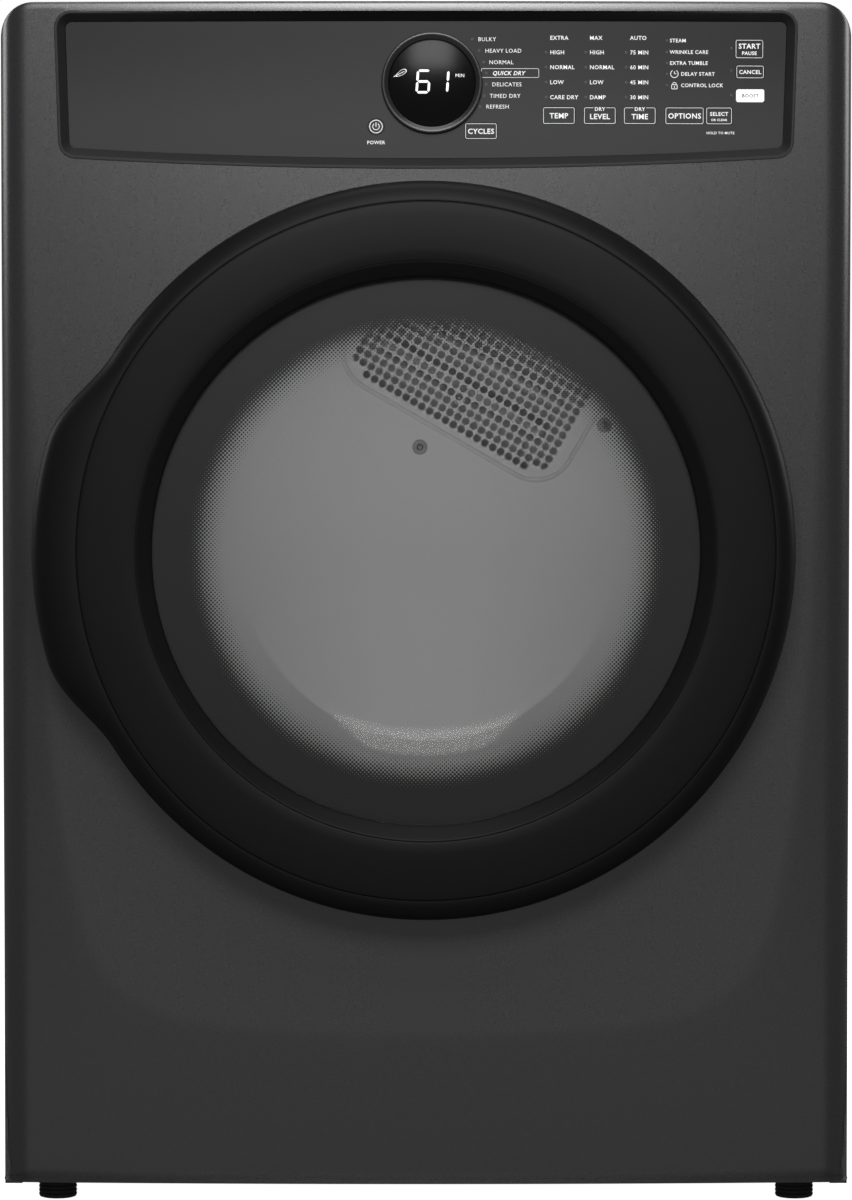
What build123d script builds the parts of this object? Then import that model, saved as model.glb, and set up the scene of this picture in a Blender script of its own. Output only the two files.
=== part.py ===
"""Front-loading clothes dryer: cabinet, console, drum, drive, air path and door, in millimetres.

+Z is up, the door faces -Y, and the origin is on the floor under the middle of the machine.
"""

import os
from math import acos, atan2, cos, degrees, hypot, radians, sin, sqrt

from build123d import *

os.makedirs("parts", exist_ok=True)

# overall size
width, height, depth = 686.0, 972.0, 800.0
half_width = width / 2
half_depth = depth / 2
sheet = 1.2  # painted steel sheet
rear_sheet = 2.4  # the rear panel carries the inlet, the vents and the cord
slip = 0.3  # gap between pieces that move past each other

# front panel: a gentle bow between two rounded edges
front_y = -335.0  # foremost point of the panel
bow = 10.0
edge_radius = 22.0
flat_half = half_width - edge_radius
seam_y = -296.0  # where the front panel meets the side panels
panel_low = 20.0
side_low = 15.0
top_radius = 28.0
rear_y = 372.0
bow_radius = (flat_half**2 + bow**2) / (2 * bow)

# console, set into the front panel
console_half, console_top, console_side_low, console_mid_low = 298.0, 964.0, 848.0, 838.7
console_corner = 13.0
bezel_width = 7.8
console_depth = 7.0
display_x, display_z = 4.8, 906.8
lens_radius, dial_radius = 34.8, 40.6
key_proud = 0.2  # how far the keys stand in front of the console panel
key_gap = 0.35
key_thick = 5.0

# door, hinged at its right edge
door_z = 532.5
door_radius = 293.7
door_back = -338.0
glass_radius = 217.5
panel_opening = 226.0
mouth_radius = 205.0
hinge_x, hinge_y = 282.0, -352.0
grip_radius = 313.5
grip_back = -365.0

# drum and the two fixed bulkheads that it turns between
drum_z = 605.0
drum_radius = 322.0
drum_half = 262.0
front_web = -290.0  # front face of the front bulkhead
rear_web = 270.0

# drive and air path
motor_x, motor_z = 110.0, 135.0
motor_radius = 62.0
pulley_radius = 11.0
belt_y, belt_width, belt_thick = 15.0, 10.0, 3.0
idler_x, idler_z, idler_radius = 148.0, 182.0, 30.0
pivot_x, pivot_z = 185.0, 95.0
roller_radius, roller_angle = 32.0, 35.0
exhaust_z = 96.0
exhaust_radius = 50.8
collar_step = 1.4  # how far the outer collar stands proud of the duct behind it
exhaust_bore = exhaust_radius - 2.6

# feet
foot_x, foot_front, foot_rear = 302.0, -268.0, 330.0
foot_radius, foot_height = 15.5, 22.0

past_front, past_rear = -410.0, 410.0  # Y of cutters that go right through
drum_centre = (0, drum_z)
door_centre = (0, door_z)
motor_centre = (motor_x, motor_z)
exhaust_centre = (0, exhaust_z)


def at_y(y):
    """A sketch plane across the machine: its x is X, its y is Z, and it faces the front."""
    return Plane.XZ.offset(-y)


def bow_y(x, inset=0.0):
    """Y of the bowed front at x, or of a copy of it that lies inset behind."""
    return front_y + bow_radius - sqrt((bow_radius - inset) ** 2 - x**2)


def block(low, high, mode=Mode.ADD):
    """A box between two opposite corners."""
    size = Vector(*high) - Vector(*low)
    with Locations((Vector(*low) + Vector(*high)) / 2):
        Box(size.X, size.Y, size.Z, mode=mode)


def corners(one, other):
    """The lowest and highest corner of the box between two points."""
    return tuple(map(min, one, other)), tuple(map(max, one, other))


def ring(front, back, centre, outer, inner=0.0, mode=Mode.ADD):
    """A disc, or a ring when it has an inner radius, from front to back about a line along Y."""
    with BuildSketch(at_y(back)) as face:
        with Locations(centre):
            Circle(outer)
            if inner:
                Circle(inner, mode=Mode.SUBTRACT)
    extrude(face.sketch, amount=back - front, mode=mode)


def post(low, high, centre, outer, inner=0.0, mode=Mode.ADD):
    """A disc or ring from low to high about a vertical line."""
    with BuildSketch(Plane.XY.offset(low)) as face:
        with Locations(centre):
            Circle(outer)
            if inner:
                Circle(inner, mode=Mode.SUBTRACT)
    extrude(face.sketch, amount=high - low, mode=mode)


def bow_band(near, far):
    """Plan outline between two copies of the bowed front, near and far behind it."""
    reach = half_width - sheet
    with BuildSketch(Plane.XY) as band:
        with BuildLine():
            front = ThreePointArc(
                (-reach, bow_y(reach, near)), (0, front_y + near), (reach, bow_y(reach, near))
            )
            back = ThreePointArc((-reach, bow_y(reach, far)), (0, front_y + far), (reach, bow_y(reach, far)))
            Line(front @ 0, back @ 0)
            Line(front @ 1, back @ 1)
        make_face()
    return band.sketch


def keep_band(near, far):
    """Keeps only what lies between two copies of the bowed front."""
    extrude(bow_band(near, far), amount=height, mode=Mode.INTERSECT)


def turned(outline, centre_z=door_z):
    """Turns an outline of (radius, y) points, which may hold arcs, about a line along Y."""
    with BuildSketch(Plane.XY.offset(centre_z)) as face:
        with BuildLine():
            for points in outline:
                if len(points) == 2:
                    Line(*points)
                else:
                    ThreePointArc(*points)
        make_face()
    return face.sketch


def closed(*points):
    """The straight sides of a closed outline, for turned()."""
    return [(points[i - 1], points[i]) for i in range(len(points))]


def around(x, z, radius, angle):
    """A point on a circle in the XZ plane, at an angle in degrees from +X towards +Z."""
    return (x + radius * cos(radians(angle)), z + radius * sin(radians(angle)))


y_axis_door = Axis((0, 0, door_z), (0, 1, 0))


# ---------------------------------------------------------------- cabinet


def front_block(inset):
    """The front panel's outer form, or its hollow when inset by the sheet."""
    back_y = seam_y + 4 * inset
    with BuildPart() as form:
        with BuildSketch(Plane.XY.offset(panel_low + inset)):
            with BuildLine():
                front = ThreePointArc(
                    (-flat_half, bow_y(flat_half, inset)),
                    (0, front_y + inset),
                    (flat_half, bow_y(flat_half, inset)),
                )
                turn = edge_radius - inset
                centre_y = bow_y(flat_half, inset) + turn
                right = CenterArc((flat_half, centre_y), turn, -90, 90)
                left = CenterArc((-flat_half, centre_y), turn, 180, 90)
                Polyline(right @ 1, (flat_half + turn, back_y), (-flat_half - turn, back_y), left @ 0)
            make_face()
        extrude(amount=height - panel_low - 2 * inset)
        with BuildSketch(at_y(back_y)):
            with BuildLine():
                reach, top, turn = half_width - inset, height - inset, top_radius - inset
                right = CenterArc((reach - turn, top - turn), turn, 0, 90)
                left = CenterArc((turn - reach, top - turn), turn, 90, 90)
                Line(right @ 1, left @ 0)
                Polyline(left @ 1, (-reach, 0), (reach, 0), right @ 0)
            make_face()
        extrude(amount=60, mode=Mode.INTERSECT)
    return form.part


def console_outline(inset):
    """Front view of the console: square corners rounded, and a lower edge that bows down."""
    with BuildSketch(at_y(seam_y)) as outline:
        with BuildLine():
            top = Line((-console_half, console_top), (console_half, console_top))
            right = Line(top @ 1, (console_half - 4, console_side_low))
            low = ThreePointArc(right @ 1, (0, console_mid_low), (4 - console_half, console_side_low))
            Line(low @ 1, top @ 0)
        make_face()
        fillet(vertices(), radius=console_corner)
        if inset:
            offset(amount=-inset, mode=Mode.REPLACE)
    return outline.sketch


catch_x = -240.0
with BuildPart() as front_panel:
    add(front_block(0))
    add(front_block(sheet), mode=Mode.SUBTRACT)
    ring(-345, -300, door_centre, panel_opening, mode=Mode.SUBTRACT)
    extrude(console_outline(0), amount=50, mode=Mode.SUBTRACT)
    block((catch_x - 5, -345, door_z - 15), (catch_x + 5, -300, door_z + 15), mode=Mode.SUBTRACT)
front_panel.part.label = "front_panel"
export_step(front_panel.part, "parts/front_panel.step")

flange = 14.0
for side, name in ((-1, "side_panel_left"), (1, "side_panel_right")):
    with BuildPart() as side_panel:
        outer_x, inner_x = side * half_width, side * (half_width - flange)
        side_top = height - top_radius - 0.5
        block(*corners((outer_x, seam_y + 0.5, side_low), (inner_x, rear_y - rear_sheet, side_top)))
        hollow = (outer_x - side * sheet, seam_y + 0.5 + sheet, side_low + sheet)
        block(
            *corners(hollow, (inner_x - side, rear_y - rear_sheet - sheet, side_top - sheet)),
            mode=Mode.SUBTRACT,
        )
    side_panel.part.label = name
    export_step(side_panel.part, f"parts/{name}.step")


def top_profile(inset):
    """Cross-section of the top panel: flat, with its long edges rolled down."""
    with BuildSketch(at_y(rear_y - inset)) as profile:
        with BuildLine():
            turn, reach, top = top_radius - inset, half_width - inset, height - inset
            right = CenterArc((reach - turn, top - turn), turn, 0, 90)
            left = CenterArc((turn - reach, top - turn), turn, 90, 90)
            Line(right @ 1, left @ 0)
            Line(left @ 1, right @ 0)
        make_face()
    return profile.sketch


with BuildPart() as top_panel:
    extrude(top_profile(0), amount=rear_y - seam_y - 0.5)
    extrude(top_profile(sheet), amount=rear_y - seam_y + 5, mode=Mode.SUBTRACT)
top_panel.part.label = "top_panel"
export_step(top_panel.part, "parts/top_panel.step")

vent_pitch, vent_rows = 12.0, 10
inlet_x, inlet_z, inlet_radius = -255.0, 110.0, 13.2
cord_x, cord_z, cord_radius = 255.0, 770.0, 14.3
notch_half, notch_top = 56.0, 152.0  # gap between the lower sheets that the exhaust passes
with BuildPart() as rear_panel:
    rear_half, rear_top = half_width - 2, height - top_radius - 2
    block((-rear_half, rear_y - rear_sheet, notch_top + 0.4), (rear_half, rear_y, rear_top))
    for side in (-1, 1):
        lower_corner = (side * notch_half, rear_y - rear_sheet, 18)
        block(*corners(lower_corner, (side * rear_half, rear_y, notch_top)))
    ring(rear_y - 5, rear_y + 5, (inlet_x, inlet_z), inlet_radius + 0.6, mode=Mode.SUBTRACT)
    ring(rear_y - 5, rear_y + 5, (cord_x, cord_z), cord_radius, mode=Mode.SUBTRACT)
    with BuildSketch(at_y(rear_y + 5)):
        for column in (-1, 1):
            for row in range(vent_rows):
                with Locations((column * 210, 420 + row * vent_pitch)):
                    SlotOverall(110, 4)
    extrude(amount=10, mode=Mode.SUBTRACT)
rear_panel.part.label = "rear_panel"
export_step(rear_panel.part, "parts/rear_panel.step")

pan_half, pan_front, pan_rear, pan_low = 340.0, -290.0, 368.0, foot_height + slip
stem_radius = 5.0
with BuildPart() as base_pan:
    block((-pan_half, pan_front, pan_low), (pan_half, pan_rear, pan_low + 18))
    block(
        (sheet - pan_half, pan_front + sheet, pan_low + sheet),
        (pan_half - sheet, pan_rear - sheet, pan_low + 40),
        mode=Mode.SUBTRACT,
    )
    for x in (-foot_x, foot_x):
        for y in (foot_front, foot_rear):
            post(pan_low, pan_low + 9, (x, y), 9, stem_radius + 0.08)
            post(pan_low - 1, pan_low + 5, (x, y), stem_radius + 0.08, mode=Mode.SUBTRACT)
base_pan.part.label = "base_pan"
export_step(base_pan.part, "parts/base_pan.step")

for name, x, y in (
    ("foot_front_left", -foot_x, foot_front),
    ("foot_front_right", foot_x, foot_front),
    ("foot_rear_left", -foot_x, foot_rear),
    ("foot_rear_right", foot_x, foot_rear),
):
    with BuildPart() as foot:
        post(0, foot_height, (x, y), foot_radius)
        chamfer(foot.edges().group_by(Axis.Z)[0], length=1.5)
        post(foot_height, foot_height + 36, (x, y), stem_radius)
    foot.part.label = name
    export_step(foot.part, f"parts/{name}.step")

with BuildPart() as terminal_cover:
    block((cord_x - 45, rear_y, cord_z + 26), (cord_x + 45, rear_y + 14, cord_z + 120))
    block(
        (cord_x - 45 + sheet, rear_y - 5, cord_z + 26 + sheet),
        (cord_x + 45 - sheet, rear_y + 14 - sheet, cord_z + 120 - sheet),
        mode=Mode.SUBTRACT,
    )
terminal_cover.part.label = "terminal_cover"
export_step(terminal_cover.part, "parts/terminal_cover.step")

# ---------------------------------------------------------------- console

# each key: name, centre x, centre z, width, height
keys = (
    ("key_cycles", 44.1, 868.3, 25.6, 12.8),
    ("key_temp", 106.6, 880.8, 25.7, 13.6),
    ("key_dry_level", 139.5, 880.8, 25.7, 13.6),
    ("key_dry_time", 171.6, 880.8, 25.7, 13.6),
    ("key_options", 207.6, 880.8, 31.0, 13.6),
    ("key_select", 235.4, 880.8, 21.0, 13.6),
    ("key_start_pause", 259.7, 934.4, 22.5, 15.0),
    ("key_cancel", 260.3, 916.1, 22.4, 10.4),
    ("key_boost", 260.5, 897.1, 22.4, 10.0),
)
power_x, power_z, power_radius = -40.1, 872.0, 6.5
key_corner = 1.6


def key_face(x, z, key_width, key_height, grow=0.0):
    """Front view of one rectangular key, or of its hole when grown by the gap."""
    with BuildSketch(at_y(seam_y)) as face:
        with Locations((x, z)):
            RectangleRounded(key_width + 2 * grow, key_height + 2 * grow, key_corner + grow)
    return face.sketch


with BuildPart() as console_bezel:
    extrude(console_outline(0.2), amount=50)
    extrude(console_outline(bezel_width), amount=50, mode=Mode.SUBTRACT)
    keep_band(0, console_depth + 5)
console_bezel.part.label = "console_bezel"
export_step(console_bezel.part, "parts/console_bezel.step")

with BuildPart() as console_panel:
    extrude(console_outline(bezel_width + 0.1), amount=50)
    ring(-345, -290, (display_x, display_z), dial_radius + 0.1, mode=Mode.SUBTRACT)
    ring(-345, -290, (power_x, power_z), power_radius + key_gap, mode=Mode.SUBTRACT)
    for _, x, z, key_width, key_height in keys:
        extrude(key_face(x, z, key_width, key_height, key_gap), amount=50, mode=Mode.SUBTRACT)
    keep_band(console_depth, console_depth + 3)
console_panel.part.label = "console_panel"
export_step(console_panel.part, "parts/console_panel.step")

for name, x, z, key_width, key_height in keys:
    with BuildPart() as key:
        extrude(key_face(x, z, key_width, key_height), amount=50)
        keep_band(console_depth - key_proud, console_depth + key_thick)
    key.part.label = name
    export_step(key.part, f"parts/{name}.step")

with BuildPart() as key_power:
    ring(-345, seam_y, (power_x, power_z), power_radius)
    keep_band(console_depth - key_proud, console_depth + key_thick)
key_power.part.label = "key_power"
export_step(key_power.part, "parts/key_power.step")

with BuildPart() as display_ring:
    ring(-345, seam_y, (display_x, display_z), dial_radius, lens_radius + 0.1)
    keep_band(console_depth - 3, console_depth + 5)
display_ring.part.label = "display_ring"
export_step(display_ring.part, "parts/display_ring.step")

with BuildPart() as display_lens:
    ring(-345, seam_y, (display_x, display_z), lens_radius)
    keep_band(console_depth - 2, console_depth + 5)
display_lens.part.label = "display_lens"
export_step(display_lens.part, "parts/display_lens.step")

board_y = -313.0
with BuildPart() as control_board:
    block((-70, board_y, 854), (280, board_y + 1.6, 950))
    for x in (-40, 20, 90, 170, 235):
        block((x - 14, board_y + 1.6, 892), (x + 14, board_y + 9, 920))
control_board.part.label = "control_board"
export_step(control_board.part, "parts/control_board.step")

# ---------------------------------------------------------------- front bulkhead and what it carries

duct_half, duct_back = 122.0, -266.5
guide_radius = 313.2  # outside of the bulkheads' guide flanges, inside the drum
guide_lap = 12.0  # how far the drum's ends reach over those flanges
duct_points = (
    (-duct_half, 372),
    (-duct_half, 180),
    (66, 76),
    (152, 76),
    (172, 104),
    (172, 200),
    (duct_half, 250),
    (duct_half, 372),
)
mouth_lip = -328.0
inlet_hole = 46.0

with BuildPart() as front_bulkhead:
    block((-341, front_web, 240), (341, front_web + sheet, 940))
    ring(front_web - 5, front_web + 5, door_centre, mouth_radius, mode=Mode.SUBTRACT)
    ring(mouth_lip, front_web + sheet, door_centre, mouth_radius + sheet, mouth_radius)
    ring(front_web + sheet, guide_lap - drum_half, drum_centre, guide_radius, guide_radius - sheet)
    block(
        (-duct_half - 1, front_web + sheet, 230),
        (duct_half + 1, duct_back + 0.5, 350),
        mode=Mode.SUBTRACT,
    )
front_bulkhead.part.label = "front_bulkhead"
export_step(front_bulkhead.part, "parts/front_bulkhead.step")

with BuildPart() as door_seal:
    ring(-337.4, -322, door_centre, 219.6, mouth_radius + sheet)
    fillet(door_seal.edges().group_by(Axis.Y)[0], radius=4)
door_seal.part.label = "door_seal"
export_step(door_seal.part, "parts/door_seal.step")


def duct_outline(y, inset=0.0):
    """Front view of the lint duct, from the door's mouth down to the blower."""
    with BuildSketch(at_y(y)) as outline:
        with BuildLine():
            Polyline(*duct_points, close=True)
        make_face()
        if inset:
            offset(amount=-inset, kind=Kind.INTERSECTION, mode=Mode.REPLACE)
    return outline.sketch


duct_wall = 1.5
duct_deep = duct_back - front_web - sheet
with BuildPart() as lint_duct:
    extrude(duct_outline(duct_back), amount=duct_deep)
    extrude(
        duct_outline(duct_back - duct_wall, duct_wall),
        amount=duct_deep - 2 * duct_wall,
        mode=Mode.SUBTRACT,
    )
    ring(-300, -260, door_centre, mouth_radius + 1, mode=Mode.SUBTRACT)
    ring(duct_back - 5, duct_back + 5, motor_centre, inlet_hole, mode=Mode.SUBTRACT)
    with BuildSketch(at_y(duct_back + 5)):
        with Locations((0, 302)):
            with GridLocations(9, 30, 23, 2):
                SlotOverall(24, 4.5, rotation=90)
    extrude(amount=8, mode=Mode.SUBTRACT)
lint_duct.part.label = "lint_duct"
export_step(lint_duct.part, "parts/lint_duct.step")

screen_half, screen_front, screen_back = 110.0, -281.5, -273.5
with BuildPart() as lint_screen:
    block((-screen_half, screen_front, 190), (screen_half, screen_back, 372))
    ring(-300, -250, door_centre, mouth_radius + 4, mode=Mode.SUBTRACT)
    with BuildSketch(at_y(screen_back)):
        with Locations((0, 245)):
            with GridLocations(70, 48, 3, 2):
                RectangleRounded(64, 42, 3)
    extrude(amount=screen_back - screen_front - 1, mode=Mode.SUBTRACT)
lint_screen.part.label = "lint_screen"
export_step(lint_screen.part, "parts/lint_screen.step")

drum_inner = drum_radius - 1.0
with BuildPart() as drum_light:
    block((-22, front_web + sheet, 744), (22, -278, 762))
    fillet(drum_light.edges().group_by(Axis.Y)[-1], radius=4)
drum_light.part.label = "drum_light"
export_step(drum_light.part, "parts/drum_light.step")

sensor_x, sensor_z = -235.0, 480.0
with BuildPart() as moisture_sensor:
    block((sensor_x - 14, front_web + sheet, sensor_z - 40), (sensor_x + 14, -282, sensor_z + 40))
    for x in (sensor_x - 7, sensor_x + 7):
        block((x - 3, -282, sensor_z - 34), (x + 3, -280, sensor_z + 34))
moisture_sensor.part.label = "moisture_sensor"
export_step(moisture_sensor.part, "parts/moisture_sensor.step")

strike_half, strike_thick, strike_tip = 10.0, 4.0, -308.0
with BuildPart() as door_catch:
    block((catch_x - 12, -320, door_z - 22), (catch_x + 12, -302, door_z + 22))
    block((catch_x - 5, -325, door_z - 14), (catch_x + 5, -305, door_z + 14), mode=Mode.SUBTRACT)
door_catch.part.label = "door_catch"
export_step(door_catch.part, "parts/door_catch.step")

# ---------------------------------------------------------------- rear bulkhead and heater

# the inlet grille's outline, in a frame tilted with its rows of holes about the drum's centre
grille_tilt = -30.0
grille_half, grille_low, grille_arc, grille_corner = 116.0, 27.0, 190.0, 34.0
grille_rim = 7.0  # plain edge outside the holes' centres
hole_pitch, hole_radius, hole_rows, hole_columns = 8.4, 3.6, 19, 27


def tilted(u, v):
    """A point (x, z) from its place in the grille's tilted frame."""
    return around(0, drum_z, hypot(u, v), grille_tilt + degrees(atan2(v, u)))


def grille_outline(y, grow=0.0):
    """The grille's outline: straight below, rounded at the corners, and an arc above."""
    with BuildSketch(at_y(y)) as outline:
        with Locations(Location((0, drum_z, 0), (0, 0, grille_tilt))):
            with Locations((0, grille_low + 100 - grow)):
                RectangleRounded(2 * grille_half + 2 * grow, 200, grille_corner)
        with Locations(drum_centre):
            Circle(grille_arc + grow, mode=Mode.INTERSECT)
    return outline.sketch


grille_lap = 5.0  # how far the grille's rim lies over the bulkhead's opening
with BuildPart() as rear_bulkhead:
    block((-341, rear_web, 240), (341, rear_web + sheet, 940))
    extrude(grille_outline(rear_web + 5, -grille_lap), amount=10, mode=Mode.SUBTRACT)
    ring(drum_half - guide_lap, rear_web, drum_centre, guide_radius, guide_radius - sheet)
rear_bulkhead.part.label = "rear_bulkhead"
export_step(rear_bulkhead.part, "parts/rear_bulkhead.step")

with BuildPart() as inlet_grille:
    extrude(grille_outline(rear_web), amount=sheet)
    with BuildSketch(at_y(rear_web + 5)):
        for row in range(hole_rows):
            for column in range(hole_columns):
                u = (column - hole_columns // 2) * hole_pitch
                v = grille_low + grille_rim + 2 + row * hole_pitch
                into_corner = hypot(
                    max(abs(u) - grille_half + grille_corner, 0),
                    max(grille_low + grille_corner - v, 0),
                )
                below_arc = hypot(u, v) < grille_arc - grille_rim - 2
                inside = into_corner < grille_corner - grille_rim and abs(u) < grille_half - grille_rim
                if below_arc and inside:
                    with Locations(tilted(u, v)):
                        Circle(hole_radius)
    extrude(amount=10, mode=Mode.SUBTRACT)
inlet_grille.part.label = "inlet_grille"
export_step(inlet_grille.part, "parts/inlet_grille.step")

heater_back, heater_grow = 326.0, 8.0
with BuildPart() as heater_housing:
    extrude(grille_outline(heater_back, heater_grow), amount=heater_back - rear_web - sheet)
    extrude(
        grille_outline(heater_back - sheet, heater_grow - sheet),
        amount=heater_back - rear_web,
        mode=Mode.SUBTRACT,
    )
    with BuildSketch(at_y(heater_back + 5)):
        for angle in (40, 60, 80):
            with Locations(around(0, drum_z, 150, angle)):
                Circle(14)
    extrude(amount=10, mode=Mode.SUBTRACT)
heater_housing.part.label = "heater_housing"
export_step(heater_housing.part, "parts/heater_housing.step")

coil_radius, coil_length, coil_y = 7.0, 170.0, 300.0
with BuildPart() as heater_coil:
    for v in (70, 100, 130):
        x, z = tilted(-coil_length / 2, v)
        along = Vector(cos(radians(grille_tilt)), 0, sin(radians(grille_tilt)))
        with BuildSketch(Plane((x, coil_y, z), z_dir=along)):
            Circle(coil_radius)
        extrude(amount=coil_length)
heater_coil.part.label = "heater_coil"
export_step(heater_coil.part, "parts/heater_coil.step")

with BuildPart() as water_valve:
    block((inlet_x - 22, rear_y - 52, inlet_z - 20), (inlet_x + 22, rear_y - rear_sheet - 1, inlet_z + 20))
    ring(rear_y - 48, rear_y - 16, (inlet_x, inlet_z + 20), 15)
    ring(rear_y - rear_sheet - 1, rear_y + 0.6, (inlet_x, inlet_z), inlet_radius - 0.4)
    ring(rear_y + 0.6, rear_y + 20, (inlet_x, inlet_z), inlet_radius)
    ring(rear_y - 4, rear_y + 21, (inlet_x, inlet_z), 8, mode=Mode.SUBTRACT)
water_valve.part.label = "water_valve"
export_step(water_valve.part, "parts/water_valve.step")

# ---------------------------------------------------------------- drum

with BuildPart() as drum_shell:
    ring(-drum_half, drum_half, drum_centre, drum_radius, drum_inner)
drum_shell.part.label = "drum_shell"
export_step(drum_shell.part, "parts/drum_shell.step")

baffle_count, baffle_height, baffle_half, baffle_slope, baffle_end = 3, 69.0, 42.0, 65.0, 232.0
baffle_root = 9.0  # how far a baffle's sketch runs past the drum's wall before it is trimmed
with BuildPart() as drum_baffles:
    for index in range(baffle_count):
        turn = Location((0, drum_z, 0), (0, 0, 90 + index * 360 / baffle_count))
        with BuildSketch(at_y(baffle_end)):
            with Locations(turn):
                with Locations((drum_inner + (baffle_root - baffle_height) / 2, 0)):
                    Trapezoid(2 * baffle_half, baffle_height + baffle_root, baffle_slope, rotation=90)
        extrude(amount=2 * baffle_end)
    ring(-baffle_end, baffle_end, drum_centre, drum_inner, mode=Mode.INTERSECT)
drum_baffles.part.label = "drum_baffles"
export_step(drum_baffles.part, "parts/drum_baffles.step")

with BuildPart() as drum_seals:
    for front in (-262, 256):
        ring(front, front + 5.5, drum_centre, drum_inner - slip, guide_radius)
drum_seals.part.label = "drum_seals"
export_step(drum_seals.part, "parts/drum_seals.step")

roller_reach = drum_radius + slip + roller_radius
roller_front, roller_rear, axle_radius = 225.0, 247.0, 5.0
rollers = tuple(around(0, drum_z, roller_reach, 270 + side * roller_angle) for side in (-1, 1))
for name, centre in zip(("roller_left", "roller_right"), rollers):
    with BuildPart() as roller:
        ring(roller_front, roller_rear, centre, roller_radius)
        fillet(roller.edges().filter_by(GeomType.CIRCLE), radius=2)
        ring(roller_front - 5, roller_rear + 5, centre, axle_radius + 0.05, mode=Mode.SUBTRACT)
    roller.part.label = name
    export_step(roller.part, f"parts/{name}.step")

with BuildPart() as roller_axles:
    for centre in rollers:
        ring(roller_front - 8, rear_web, centre, axle_radius)
        ring(roller_rear + slip, rear_web, centre, 9)
        ring(roller_front - 6, roller_front - slip, centre, 9)
roller_axles.part.label = "roller_axles"
export_step(roller_axles.part, "parts/roller_axles.step")

# ---------------------------------------------------------------- motor, belt and idler

shaft_radius, motor_front, motor_rear = 6.0, -150.0, -10.0
with BuildPart() as motor_housing:
    ring(motor_front, motor_rear, motor_centre, motor_radius)
    ring(motor_front + 3, motor_rear - 3, motor_centre, motor_radius - 3, mode=Mode.SUBTRACT)
    ring(motor_front + 30, motor_rear - 30, motor_centre, motor_radius - 3, 37)
    ring(motor_front - 10, motor_rear + 10, motor_centre, shaft_radius + 0.05, mode=Mode.SUBTRACT)
motor_housing.part.label = "motor_housing"
export_step(motor_housing.part, "parts/motor_housing.step")

wheel_front, wheel_back, wheel_radius = -256.0, -206.0, 72.0
with BuildPart() as motor_rotor:
    ring(wheel_front + 6, belt_y + 9, motor_centre, shaft_radius)
    ring(motor_front + 30, motor_rear - 30, motor_centre, 36)
    ring(belt_y - 6, belt_y + 6, motor_centre, pulley_radius)
    for front in (belt_y - 8, belt_y + 6):
        ring(front, front + 2, motor_centre, pulley_radius + 3)
motor_rotor.part.label = "motor_rotor"
export_step(motor_rotor.part, "parts/motor_rotor.step")

bracket_low = pan_low + sheet
with BuildPart() as motor_bracket:
    block((55, -142, bracket_low), (212, 36, bracket_low + 3))
    for y in (-138, -25):
        block((60, y, bracket_low), (160, y + 3, motor_z - 12))
    ring(-145, -15, motor_centre, motor_radius, mode=Mode.SUBTRACT)
    block((165, 33, bracket_low), (205, 36, pivot_z + 14))
    ring(18, 33, (pivot_x, pivot_z), 4)
motor_bracket.part.label = "motor_bracket"
export_step(motor_bracket.part, "parts/motor_bracket.step")

arm_front, arm_back = 24.0, 28.0
with BuildPart() as idler_arm:
    with BuildSketch(at_y(arm_back)):
        with BuildLine():
            Line((pivot_x, pivot_z), (idler_x, idler_z))
        trace(line_width=16)
        for centre in ((pivot_x, pivot_z), (idler_x, idler_z)):
            with Locations(centre):
                Circle(9)
    extrude(amount=arm_back - arm_front)
    ring(22, 31, (pivot_x, pivot_z), 9)
    ring(15, 35, (pivot_x, pivot_z), 4.05, mode=Mode.SUBTRACT)
    ring(belt_y - 9, arm_front, (idler_x, idler_z), 4)
idler_arm.part.label = "idler_arm"
export_step(idler_arm.part, "parts/idler_arm.step")

with BuildPart() as idler_pulley:
    ring(belt_y - 8, belt_y + 8, (idler_x, idler_z), idler_radius)
    ring(belt_y - 20, belt_y + 20, (idler_x, idler_z), 4.05, mode=Mode.SUBTRACT)
idler_pulley.part.label = "idler_pulley"
export_step(idler_pulley.part, "parts/idler_pulley.step")

# the belt's middle line runs around three circles: x, z, radius, and which side it passes
belt_lift = slip + belt_thick / 2
belt_circles = (
    (0, drum_z, drum_radius + belt_lift, 1),
    (motor_x, motor_z, pulley_radius + belt_lift, 1),
    (idler_x, idler_z, idler_radius + belt_lift, -1),
)


def belt_loop(grow):
    """The belt's closed outline, grown outwards: tangent lines joined by arcs."""
    spans = []
    for index, (x1, z1, r1, side1) in enumerate(belt_circles):
        x2, z2, r2, side2 = belt_circles[(index + 1) % len(belt_circles)]
        reach1, reach2 = side1 * r1 + grow, side2 * r2 + grow
        heading = atan2(z2 - z1, x2 - x1)
        lean = acos((reach1 - reach2) / hypot(x2 - x1, z2 - z1))
        normal = degrees(heading - lean)
        spans.append((around(x1, z1, reach1, normal), around(x2, z2, reach2, normal), normal))
    with BuildSketch(at_y(belt_y + belt_width / 2)) as loop:
        with BuildLine():
            for index, (start, end, normal) in enumerate(spans):
                x, z, radius, side = belt_circles[(index + 1) % len(belt_circles)]
                following, _, next_normal = spans[(index + 1) % len(spans)]
                sweep = (next_normal - normal) % 360 if side > 0 else -((normal - next_normal) % 360)
                middle = around(x, z, side * radius + grow, normal + sweep / 2)
                Line(start, end)
                ThreePointArc(end, middle, following)
        make_face()
    return loop.sketch


with BuildPart() as drive_belt:
    extrude(belt_loop(belt_thick / 2), amount=belt_width)
    extrude(belt_loop(-belt_thick / 2), amount=belt_width, mode=Mode.SUBTRACT)
drive_belt.part.label = "drive_belt"
export_step(drive_belt.part, "parts/drive_belt.step")

# ---------------------------------------------------------------- blower and exhaust

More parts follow.
